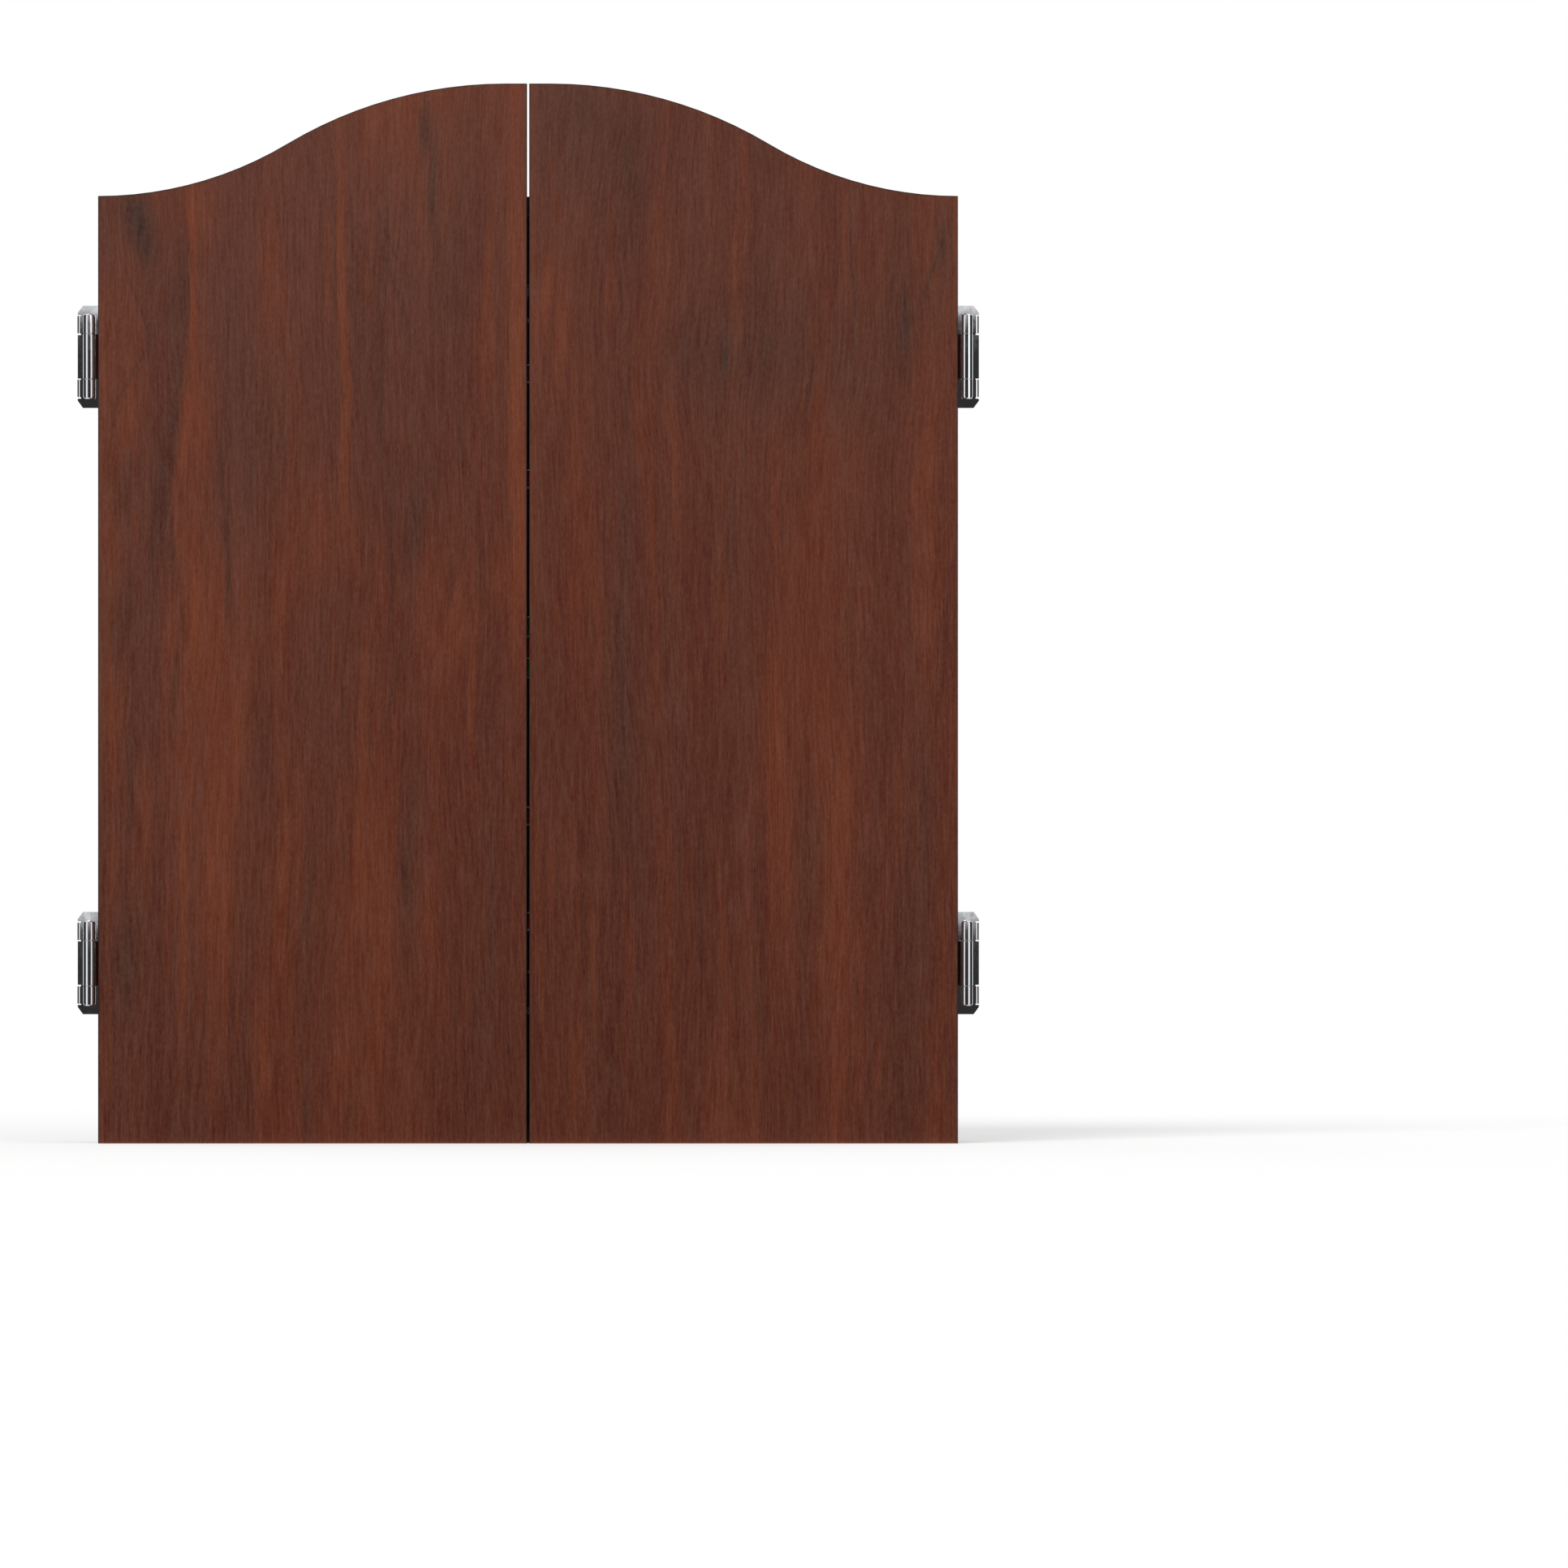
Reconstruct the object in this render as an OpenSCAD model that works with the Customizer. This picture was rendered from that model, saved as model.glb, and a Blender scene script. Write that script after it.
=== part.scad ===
// Dart board cabinet: a wall-hung box with two arched doors on rolled-knuckle hinges,
// and the bristle board that hangs inside it on a slotted bracket.
//
// Frame, in millimetres: the origin is on the wall, behind the bull. +X is to the right
// of someone facing the doors, +Y runs into the wall and +Z is up.
// A hinge, a screw, a catch and a rack are each drawn about their own origin and then placed.

/* [Cabinet] */
// Room between the board and a side
side_room = 22.5; // [16:0.5:70]
// Room between the board and the top
top_room = 35.5; // [34:0.5:90]
// Room between the board and the bottom
bottom_room = 62.5; // [50:0.5:90]
// Room between the board's face and the front edge of the box
front_room = 19; // [18:0.5:40]
// Thickness of the sides, the top and the bottom
panel_t = 12; // [10:0.5:16]
// Thickness of the back panel
back_t = 6; // [5:0.5:9]
// How far the back panel laps onto the sides, the top and the bottom
back_lap = 6; // [4:0.5:7]

/* [Doors] */
// Thickness of a door
door_t = 12; // [10:0.5:14]
// Gap between the two doors
door_gap = 1.4; // [1:0.1:3]
// Rise of the arch above the shoulders
arch_rise = 68; // [40:1:90]
// Level stretch of the arch on each door, next to the gap
arch_flat = 13; // [4:1:40]
// Radius of the hollow curve that leaves the shoulder
arch_hollow_r = 223; // [150:1:280]

/* [Hinges] */
// Distance from the top of the box down to the middle of the upper hinges
hinge_top_in = 97; // [70:1:180]
// Distance from the underside of the box up to the middle of the lower hinges
hinge_low_in = 109; // [80:1:180]
// Height of a leaf
leaf_h = 62; // [58:1:70]
// Thickness of the leaves' sheet metal
leaf_t = 1.5; // [1.2:0.1:1.6]
// How far the fixed leaf stands out past the side of the box
leaf_reach = 12.8; // [12:0.1:14]
// How far the door leaf runs onto the door from the door's edge
door_leaf_w = 17; // [15:1:19]
// Distance of the pin from the side of the box
pin_offset = 5.6; // [5.4:0.1:6.4]
// Radius of the hinge pin
pin_r = 2; // [1.5:0.1:2.1]
// Length of the barrel
barrel_h = 49; // [44:1:52]
// Length of the middle knuckle, which is the door's
middle_knuckle_h = 27; // [22:1:30]

/* [Board] */
// Radius of the board over its steel band
board_r = 225.5; // [220:0.5:226]
// Thickness of the sisal
sisal_t = 32; // [26:1:34]
// Thickness of the chipboard behind the sisal
backing_t = 6; // [4:1:8]
// Space between the back panel and the board
hang_gap = 12; // [11:0.5:14]
// Radius of the outer wire of the double band
double_r = 171.4; // [165:0.1:176]
// Radius of the outer wire of the treble band
treble_r = 107.5; // [102:0.1:112]
// Width of the double and treble bands, between the middles of their wires
band_w = 10.6; // [9:0.1:12]
// Radius of the outer bull's wire
outer_bull_r = 18.3; // [15.9:0.1:19]
// Radius of the bull's wire
bull_r = 6.6; // [6.3:0.1:7.5]
// Radius of the spider's wire
spider_wire_r = 0.9; // [0.6:0.05:1]
// How far the spokes run past the double band
spoke_overrun = 9; // [5:1:20]
// Distance from the board's edge in to the number ring
number_ring_in = 6.3; // [5:0.1:9]
// Radius of the number ring's wire
number_wire_r = 1.2; // [1:0.1:1.5]

/* [Fittings] */
// Distance of a magnetic catch from the middle of the cabinet
catch_x = 40; // [32:1:80]
// Distance from the middle of the cabinet to a scoreboard
score_in_x = 40; // [15:1:60]
// Distance from a door's hinged edge to its scoreboard
score_out = 40; // [24:1:60]
// Distance between a scoreboard and the dart rack below it
score_above_rack = 42; // [10:1:80]
// Distance between a scoreboard and the strike plate above it
score_below_strike = 3.25; // [2:0.25:30]
// Thickness of a scoreboard
score_t = 2; // [1:0.5:3]
// Radius of a hole in a dart rack
dart_hole_r = 4; // [3.5:0.1:4.5]
// Radius of a wall screw's hole
wall_hole_r = 2.75; // [2:0.25:4]

/* [Hidden] */
$fn = 96;
LEFT = -1;
RIGHT = 1;
SIDES = [LEFT, RIGHT];
cut = 1; // how far a cutting shape runs past the face that it cuts

// Box
inner_x = board_r + side_room;
half_w = inner_x + panel_t;
inner_floor_z = -board_r - bottom_room;
inner_roof_z = board_r + top_room;
floor_z = inner_floor_z - panel_t;
roof_z = inner_roof_z + panel_t;
cabinet_h = roof_z - floor_z;
cabinet_d = back_t + hang_gap + backing_t + sisal_t + front_room;
front_y = -cabinet_d;
back_fit = 0.2; // clearance round the back panel
back_half_w = inner_x + back_lap - back_fit;
back_low_z = inner_floor_z - back_lap + back_fit;
back_high_z = inner_roof_z + back_lap - back_fit;

// Dowels and nails that hold the box together
dowel_r = 3;
dowel_in_side = 8;
dowel_in_rail = 20;
dowel_inset = 17; // from the box's front edge, and from the back panel
dowel_ys = [front_y + dowel_inset, -back_t - dowel_inset];
nail_r = 0.7;
nail_head_r = 1.6;
nail_head_t = 0.5;
nail_bite = 9; // how far a nail goes into a side, the top or the bottom
nail_margin = 60; // from a corner of the back panel to the first nail
nail_x = back_half_w - back_lap / 2;
nail_low_z = back_low_z + back_lap / 2;
nail_high_z = back_high_z - back_lap / 2;

// Wall screws
wall_hole_inset_x = 48; // from a side's inner face
wall_hole_inset_z = 46; // from the top's and the bottom's inner faces
wall_hole_x = inner_x - wall_hole_inset_x;
wall_hole_zs = [inner_floor_z + wall_hole_inset_z, inner_roof_z - wall_hole_inset_z];

// Hinges: each is drawn about its pin, which stands in the plane of the doors' fronts,
// with x towards the middle of the cabinet and y towards the wall
leaf_gap = 0.2; // between the two leaves when the door is shut
pin_clearance = 0.08; // round the pin, in the door's knuckle
knuckle_gap = 0.5; // between knuckles
knuckle_r = pin_r + leaf_t;
roll_r = pin_r + leaf_t / 2; // to the middle of the rolled sheet
roll_slit = 0.3; // from the end of the roll to the strap that it comes from
bend_in_r = 0.55; // inside the bends of the sheet
bend_r = bend_in_r + leaf_t / 2;
standoff = 2 * leaf_t + leaf_gap; // from the box's front edge to the door's back
door_back_y = front_y - standoff;
door_front_y = door_back_y - door_t;
pin_x = half_w + pin_offset;
hinge_top_h = cabinet_h - hinge_top_in; // above the underside of the box
hinge_low_h = hinge_low_in;
door_plate_y = door_t;
fixed_plate_y = door_plate_y + leaf_t + leaf_gap;
leaf_edge_margin = 1; // from the fixed leaf's inner edge to the side's inner face
fixed_plate_out_x = leaf_reach - pin_offset;
fixed_plate_in_x = pin_offset + panel_t - leaf_edge_margin;
door_plate_in_x = pin_offset + door_leaf_w;
tab_x = fixed_plate_out_x - leaf_t / 2; // the fixed leaf's straps, at its outer edge
tab_low_z = middle_knuckle_h / 2 + knuckle_gap;
tab_high_z = barrel_h / 2;
neck_x = pin_offset - bend_r; // the door leaf's strap, beside the door's edge
relief = 0.8; // slit beside a bend of the fixed leaf
clip_x = 3.2; // clipped corner of the fixed leaf
clip_z = 4.4;
leaf_corner_r = 3;
pin_head_inset = 0.3; // from the knuckles' surface to the pin's head
pin_head_r = knuckle_r - pin_head_inset;
pin_head_h = 1.2;
hinge_screw_r = 1.4;
hinge_head_r = 2.6;
fixed_screw_len = 15;
door_screw_len = 9;
hinge_screw_z = 20;
door_screw_in = 10; // from the door's edge to the line of its hinge screws

// Doors
door_w = half_w - door_gap / 2;
door_h = cabinet_h;
arch_run = door_w - arch_flat;
arch_angle = 2 * atan(arch_rise / arch_run);
arch_crown_r = arch_run / sin(arch_angle) - arch_hollow_r;
arch_turn_x = arch_hollow_r * sin(arch_angle);
arch_turn_z = door_h + arch_hollow_r * (1 - cos(arch_angle));

// Catches, each with a magnet between two steel plates
catch_w = 44;
catch_body_w = 28;
catch_h = 13;
catch_foot_t = 2.5;
catch_depth = 12;
catch_wall = 2;
catch_screw_in = 4; // from a foot's end to its screw
catch_screw_r = 1.3;
catch_head_r = 2.4;
catch_screw_len = 11;
pole_t = 1.2;
pole_proud = 1; // the plates stand out of the housing
strike_t = 1.2;
strike_margin = 1; // from the magnet's plates to the strike's ends
strike_w = catch_body_w - 2 * catch_wall + 2 * strike_margin;
strike_h = 12;
strike_gap = 0.4; // from the plates to the strike when the door is shut
strike_screw_len = 8;
catch_front_y = door_back_y + strike_t + strike_gap + pole_proud;
catch_mid_z = inner_roof_z - catch_foot_t - (catch_h - catch_foot_t) / 2;
catch_pocket_low = catch_wall - catch_h;
catch_pocket_high = -catch_foot_t - catch_wall / 2;

// Scoreboards and dart racks, on the insides of the doors
dart_pitch = 18;
dart_out = 12; // from the door's back to the darts
rack_wall = 5; // outside the rack's holes
rack_w = 2 * (dart_pitch + dart_hole_r + rack_wall);
rack_d = dart_out + dart_hole_r + rack_wall;
rack_h = 14;
rack_corner_r = 3;
rack_clearance = 2; // from the hinge's leaf to the rack
rack_mid_x = half_w - door_leaf_w - rack_clearance - rack_w / 2;
dart_drop = 120; // a dart's tip stays inside the box, this far below its flight
rack_top_z = inner_floor_z + dart_drop;
rack_screw_r = 1.5;
rack_head_r = 3;
rack_screw_bite = 8; // into the door
rack_screw_len = rack_d + rack_screw_bite;
score_low_z = rack_top_z + score_above_rack;
score_high_z = catch_mid_z - strike_h / 2 - score_below_strike;
score_w = half_w - score_in_x - score_out;

// Board
band_t = 0.5;
sisal_r = board_r - band_t;
board_back_y = -back_t - hang_gap;
sisal_back_y = board_back_y - backing_t;
face_y = sisal_back_y - sisal_t;
spider_radii = [
    bull_r, outer_bull_r, treble_r - band_w, treble_r, double_r - band_w, double_r
];
spoke_bend_r = 1.35 * spider_wire_r; // where a spoke's end turns down to the face
spoke_in_r = outer_bull_r - spider_wire_r - spoke_bend_r; // just clear of the bull's wire
spoke_out_r = double_r + spoke_overrun;
spoke_lift = 3 * spider_wire_r; // from the face to the middle of a spoke, on the rings
spoke_count = 20;
spoke_angle = 360 / spoke_count;
number_ring_r = board_r - number_ring_in;
ring_clip_count = 4;
ring_clip_w = 24;
ring_clip_d = 12.6;
ring_clip_t = 1.6; // over the wire
ring_clip_in = 3.6; // from the number ring in to the clip's middle
ring_clip_fit = 0.1; // round the wire
ring_clip_h = 2 * number_wire_r + ring_clip_t;
ring_clip_out_r = number_ring_r - ring_clip_in + ring_clip_d / 2;
ring_clip_step = 0.6; // from a clip's border up to its pad
ring_clip_border = 1.1;
rivet_in = 5.8; // from the number ring in to the rivet
rivet_r = 1.4;
rivet_head_r = 2.6;
rivet_head_h = 1;
rivet_len = 14;
bumper_r = 11;
bumper_circle_r = 150;
bumper_clearance = 0.3; // from the pads to the back panel
bumper_count = 3;

// Bracket and hanging screw
sheet_t = 1.5;
bracket_bend_r = 2.2;
bracket_plate_half = 18;
bracket_ear_w = 17;
bracket_low_z = -24;
bracket_high_z = 19;
hang_shank_r = 2.7;
hang_head_r = 5;
hang_head_t = 3;
hang_fit = 0.3; // round the shank in the slot
hang_slack = 2.2; // from the board's back, and from the screw's head, to the bracket's plate
hang_screw_bite = 18; // into the backing and the sisal
hang_mouth_half = 10;
hang_mouth_h = 9;
slot_r = hang_shank_r + hang_fit;
bracket_plate_y = board_back_y + hang_slack; // the front of the raised plate
bracket_rise = -back_t - bracket_plate_y - sheet_t; // clear space behind it
hang_head_y = bracket_plate_y + sheet_t + hang_slack;
bracket_screw_r = 1.8;
bracket_head_r = 3.4;
bracket_head_t = 2;
bracket_screw_in = 6; // from an ear's end to its screws
bracket_screw_inset = 8; // from the bracket's top and bottom to its screws
bracket_screw_x = bracket_plate_half + bracket_ear_w - bracket_screw_in;
bracket_screw_zs = [
    bracket_low_z + bracket_screw_inset, bracket_high_z - bracket_screw_inset
];
bracket_screw_spare = 0.5; // the screw stops short of the wall

wood = "#5a3226";
steel = "#c8cacc";
black = "#1c1c1e";

// ---------- general shapes ----------

// A box given by its two opposite corners
module span(low, high) {
    translate(low) cube(high - low);
}

// A quarter ring of bent sheet, in the given quadrant
module sheet_bend(quadrant, mid_r, sheet) {
    outer = mid_r + sheet / 2;
    rotate(90 * quadrant) intersection() {
        difference() {
            circle(outer);
            circle(mid_r - sheet / 2);
        }
        square(outer);
    }
}

// A rectangle between two corners, in the plane
module flat_span(low, high) {
    translate(low) square(high - low);
}

// The solid of a flat-topped screw: its head's face is at z = 0 and it points down
module screw_form(len, shank, head) {
    sink = head - shank;
    rotate_extrude() polygon([
        [0, 0], [head, 0], [shank, -sink], [shank, shank - len], [0, -len]
    ]);
}

// The same screw with its cross recess
module cross_screw(len, shank, head) {
    recess = head * 1.1;
    slit = head * 0.22;
    deep = head * 0.35;
    color(steel) difference() {
        screw_form(len, shank, head);
        for (turn = [0, 90]) rotate(turn)
            translate([-recess / 2, -slit / 2, -deep]) cube([recess, slit, deep + cut]);
    }
}

// Points a screw drawn downwards towards +Y, with its head to the front
module facing_front() {
    rotate([90, 0, 0]) children();
}

// Points it towards -Y, with its head to the wall
module facing_wall() {
    rotate([-90, 0, 0]) children();
}

// Points it up, with its head below
module facing_down() {
    rotate([180, 0, 0]) children();
}

// ---------- places ----------

module at_dowels(side) {
    for (y = dowel_ys, z = [floor_z + panel_t / 2, roof_z - panel_t / 2])
        translate([side * inner_x, y, z]) rotate([0, side * 90, 0]) children();
}

module at_nails() {
    for (i = [0:4], side = SIDES)
        translate([
            side * nail_x, 0,
            nail_low_z + nail_margin + i * (nail_high_z - nail_low_z - 2 * nail_margin) / 4
        ]) facing_wall() children();
    for (i = [0:3], z = [nail_low_z, nail_high_z])
        translate([-nail_x + nail_margin + i * (nail_x - nail_margin) * 2 / 3, 0, z])
            facing_wall() children();
}

module at_wall_holes() {
    for (side = SIDES, z = wall_hole_zs)
        translate([side * wall_hole_x, 0, z]) rotate([90, 0, 0]) children();
}

module at_bracket_screws() {
    for (side = SIDES, z = bracket_screw_zs)
        translate([side * bracket_screw_x, -back_t, z]) facing_front() children();
}

// The pin's middle at one hinge, with x pointing to the middle of the cabinet
module at_hinge(side, height) {
    translate([side * pin_x, door_front_y, floor_z + height])
        mirror([side == RIGHT ? 1 : 0, 0, 0]) children();
}

module at_side_hinges(side) {
    for (height = [hinge_low_h, hinge_top_h]) at_hinge(side, height) children();
}

module at_fixed_screws() {
    for (z = [-hinge_screw_z, hinge_screw_z])
        translate([pin_offset + panel_t / 2, fixed_plate_y, z]) facing_front() children();
}

module at_door_screws() {
    for (z = [-hinge_screw_z, hinge_screw_z])
        translate([pin_offset + door_screw_in, door_plate_y + leaf_t, z])
            facing_wall() children();
}

module at_catch(side) {
    translate([side * catch_x, catch_front_y, inner_roof_z]) children();
}

module at_catch_screws() {
    for (end = SIDES)
        translate([
            end * (catch_w / 2 - catch_screw_in), catch_depth / 2, -catch_foot_t
        ]) facing_down() children();
}

module at_strike_screw(side) {
    translate([side * catch_x, door_back_y + strike_t, catch_mid_z]) facing_wall() children();
}

module at_rack(side) {
    translate([side * rack_mid_x, door_back_y, rack_top_z]) children();
}

module at_rack_screws() {
    for (end = SIDES)
        translate([end * dart_pitch / 2, rack_d, -rack_h / 2]) facing_wall() children();
}

module at_ring_clips() {
    for (i = [0:ring_clip_count - 1])
        rotate([0, (i + 0.5) * 360 / ring_clip_count, 0]) children();
}

module at_rivets() {
    at_ring_clips()
        translate([number_ring_r - rivet_in, face_y - ring_clip_h, 0])
            facing_front() children();
}

// ---------- box ----------

module nail_form() {
    rotate_extrude() polygon([
        [0, 0], [nail_head_r, 0], [nail_head_r, -nail_head_t], [nail_r, -nail_head_t],
        [nail_r, -back_t - nail_bite + nail_r], [0, -back_t - nail_bite]
    ]);
}

module dowel_form() {
    translate([0, 0, -dowel_in_rail]) cylinder(h = dowel_in_rail + dowel_in_side, r = dowel_r);
}

module back_rebate() {
    reach = back_fit;
    span(
        [-back_half_w - reach, -back_t, back_low_z - reach],
        [back_half_w + reach, cut, back_high_z + reach]
    );
}

module side_panel(side) {
    color(wood) difference() {
        translate([side > 0 ? inner_x : -half_w, front_y, floor_z])
            cube([panel_t, cabinet_d, cabinet_h]);
        back_rebate();
        at_dowels(side) dowel_form();
        at_nails() nail_form();
        at_side_hinges(side) at_fixed_screws()
            screw_form(fixed_screw_len, hinge_screw_r, hinge_head_r);
    }
}

module rail(low_z) {
    color(wood) difference() {
        translate([-inner_x, front_y, low_z]) cube([2 * inner_x, cabinet_d, panel_t]);
        back_rebate();
        for (side = SIDES) at_dowels(side) dowel_form();
        at_nails() nail_form();
        for (side = SIDES) at_catch(side) at_catch_screws()
            screw_form(catch_screw_len, catch_screw_r, catch_head_r);
    }
}

module top_panel() {
    rail(inner_roof_z);
}

module bottom_panel() {
    rail(floor_z);
}

module back_panel() {
    color("#2a1c17") difference() {
        span([-back_half_w, -back_t, back_low_z], [back_half_w, 0, back_high_z]);
        at_nails() nail_form();
        at_wall_holes() translate([0, 0, -cut]) cylinder(h = back_t + 2 * cut, r = wall_hole_r);
        at_bracket_screws() bracket_screw_form();
    }
}

module corner_dowels() {
    color("#c9a36b") for (side = SIDES) at_dowels(side) dowel_form();
}

module back_panel_nails() {
    color(steel) at_nails() nail_form();
}

// ---------- bracket and hanging screw ----------

// Half of the bracket's section, from the middle of the plate to the end of an ear,
// with the back panel's face at y = 0 and the front at -y
module bracket_half_section() {
    mid_out = -bracket_rise - sheet_t / 2;
    mid_in = -sheet_t / 2;
    riser_x = bracket_plate_half;
    flat_span([0, mid_out - sheet_t / 2], [riser_x - bracket_bend_r, mid_out + sheet_t / 2]);
    translate([riser_x - bracket_bend_r, mid_out + bracket_bend_r])
        sheet_bend(3, bracket_bend_r, sheet_t);
    flat_span(
        [riser_x - sheet_t / 2, mid_out + bracket_bend_r],
        [riser_x + sheet_t / 2, mid_in - bracket_bend_r]
    );
    translate([riser_x + bracket_bend_r, mid_in - bracket_bend_r])
        sheet_bend(1, bracket_bend_r, sheet_t);
    flat_span(
        [riser_x + bracket_bend_r, mid_in - sheet_t / 2],
        [riser_x + bracket_ear_w, mid_in + sheet_t / 2]
    );
}

// The slot that the hanging screw drops into, seen from the front
module hanging_slot() {
    circle(slot_r);
    flat_span([-slot_r, 0], [slot_r, bracket_high_z + cut]);
    polygon([
        [-hang_mouth_half, bracket_high_z + cut], [-slot_r, bracket_high_z - hang_mouth_h],
        [slot_r, bracket_high_z - hang_mouth_h], [hang_mouth_half, bracket_high_z + cut]
    ]);
}

module board_bracket() {
    color(steel) difference() {
        translate([0, -back_t, bracket_low_z]) linear_extrude(bracket_high_z - bracket_low_z)
            for (side = SIDES) mirror([side == LEFT ? 1 : 0, 0]) bracket_half_section();
        translate([0, bracket_plate_y + sheet_t + cut, 0]) rotate([90, 0, 0])
            linear_extrude(sheet_t + 2 * cut) hanging_slot();
        at_bracket_screws() translate([0, 0, -cut])
            cylinder(h = sheet_t + 2 * cut, r = bracket_screw_r);
    }
}

// Pan-headed screw: z = 0 is the back panel's face
module bracket_screw_form() {
    tip = back_t - bracket_screw_spare;
    rotate_extrude() polygon([
        [0, -tip], [bracket_screw_r, bracket_screw_r - tip], [bracket_screw_r, sheet_t],
        [bracket_head_r, sheet_t], [bracket_head_r, sheet_t + bracket_head_t / 2],
        [bracket_head_r * 0.7, sheet_t + bracket_head_t], [0, sheet_t + bracket_head_t]
    ]);
}

module bracket_screws() {
    color(steel) at_bracket_screws() bracket_screw_form();
}

// The board's screw: its shank stands in the slot and its head is behind the plate
module hanging_screw_form() {
    rotate([-90, 0, 0]) rotate_extrude() polygon([
        [0, board_back_y - hang_screw_bite], [hang_shank_r, board_back_y - hang_screw_bite
            + hang_shank_r], [hang_shank_r, hang_head_y], [hang_head_r, hang_head_y],
        [hang_head_r, hang_head_y + hang_head_t * 0.6],
        [hang_head_r * 0.6, hang_head_y + hang_head_t], [0, hang_head_y + hang_head_t]
    ]);
}

module hanging_screw() {
    color(steel) hanging_screw_form();
}

// ---------- hinges ----------

// A strap and its knuckle from above: off the plate at plate_y, forward at strap_x, in
// behind the pin, and rolled round it. The strap stands on the side of positive x.
module strap_section(strap_x, plate_y) {
    turn_x = strap_x - bend_r;
    plate_mid = plate_y + leaf_t / 2;
    roll_end_y = pin_r - roll_slit;
    flat_span(
        [strap_x - leaf_t / 2, roll_r + bend_r], [strap_x + leaf_t / 2, plate_mid - bend_r]
    );
    translate([turn_x, roll_r + bend_r]) sheet_bend(3, bend_r, leaf_t);
    flat_span([0, pin_r], [turn_x, knuckle_r]);
    for (quadrant = [1:3]) sheet_bend(quadrant, roll_r, leaf_t);
    intersection() {
        sheet_bend(0, roll_r, leaf_t);
        square([knuckle_r, roll_end_y]);
    }
}

// The fixed leaf's plate, seen from the front: clipped outer corners, and slits beside
// the bends from which the straps come forward
module fixed_plate_outline() {
    out_x = -fixed_plate_out_x;
    difference() {
        polygon([
            [fixed_plate_in_x, -leaf_h / 2], [fixed_plate_in_x, leaf_h / 2],
            [out_x + clip_x, leaf_h / 2], [out_x, leaf_h / 2 - clip_z],
            [out_x, clip_z - leaf_h / 2], [out_x + clip_x, -leaf_h / 2]
        ]);
        for (end = SIDES) mirror([0, end == LEFT ? 1 : 0])
            flat_span([out_x - cut, tab_low_z - relief], [bend_r - tab_x, tab_high_z + relief]);
    }
}

module fixed_leaf(side, height) {
    plate_mid = fixed_plate_y + leaf_t / 2;
    color(steel) at_hinge(side, height) difference() {
        union() {
            translate([0, fixed_plate_y + leaf_t, 0]) rotate([90, 0, 0])
                linear_extrude(leaf_t) fixed_plate_outline();
            for (z = [tab_low_z, -tab_high_z]) translate([0, 0, z])
                linear_extrude(tab_high_z - tab_low_z) mirror([1, 0]) {
                    strap_section(tab_x, fixed_plate_y);
                    translate([tab_x - bend_r, plate_mid - bend_r])
                        sheet_bend(0, bend_r, leaf_t);
                }
        }
        at_fixed_screws() screw_form(fixed_screw_len, hinge_screw_r, hinge_head_r);
    }
}

// The door leaf's plate, seen from the front
module door_plate_outline() {
    corner = door_plate_in_x - leaf_corner_r;
    edge = leaf_h / 2 - leaf_corner_r;
    flat_span([neck_x + bend_r, -leaf_h / 2], [corner, leaf_h / 2]);
    flat_span([corner, -edge], [door_plate_in_x, edge]);
    for (end = SIDES) translate([corner, end * edge]) circle(leaf_corner_r);
}

module door_leaf(side, height) {
    plate_mid = door_plate_y + leaf_t / 2;
    color(steel) at_hinge(side, height) difference() {
        union() {
            translate([0, door_plate_y + leaf_t, 0]) rotate([90, 0, 0])
                linear_extrude(leaf_t) door_plate_outline();
            translate([0, 0, -middle_knuckle_h / 2]) linear_extrude(middle_knuckle_h) {
                strap_section(neck_x, door_plate_y);
                translate([neck_x + bend_r, plate_mid - bend_r])
                    sheet_bend(1, bend_r, leaf_t);
            }
        }
        translate([0, 0, -leaf_h / 2]) cylinder(h = leaf_h, r = pin_r + pin_clearance);
        at_door_screws() screw_form(door_screw_len, hinge_screw_r, hinge_head_r);
    }
}

module hinge_pin(side, height) {
    end_z = barrel_h / 2;
    color(steel) at_hinge(side, height) rotate_extrude() polygon([
        [0, -end_z - pin_head_h], [pin_head_r * 0.6, -end_z - pin_head_h],
        [pin_head_r, -end_z - pin_head_h / 2], [pin_head_r, -end_z], [pin_r, -end_z],
        [pin_r, end_z], [pin_head_r, end_z], [pin_head_r, end_z + pin_head_h / 2],
        [pin_head_r * 0.6, end_z + pin_head_h], [0, end_z + pin_head_h]
    ]);
}

module fixed_leaf_screws() {
    for (side = SIDES) at_side_hinges(side) at_fixed_screws()
        cross_screw(fixed_screw_len, hinge_screw_r, hinge_head_r);
}

module door_leaf_screws(side) {
    at_side_hinges(side) at_door_screws()
        cross_screw(door_screw_len, hinge_screw_r, hinge_head_r);
}

// ---------- doors ----------

// A door from the front, with x from its hinged edge and y up from its lower edge:
// a hollow curve leaves the shoulder level and turns into the crown's curve
module door_outline() {
    crown_x = door_w - arch_flat;
    top = door_h + arch_rise;
    difference() {
        square([arch_turn_x, arch_turn_z]);
        translate([0, door_h + arch_hollow_r]) circle(arch_hollow_r);
    }
    intersection() {
        flat_span([arch_turn_x, door_h - arch_rise], [crown_x, top]);
        translate([crown_x, top - arch_crown_r]) circle(arch_crown_r);
    }
    flat_span([arch_turn_x, 0], [crown_x, door_h]);
    flat_span([crown_x, 0], [door_w, top]);
}

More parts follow.
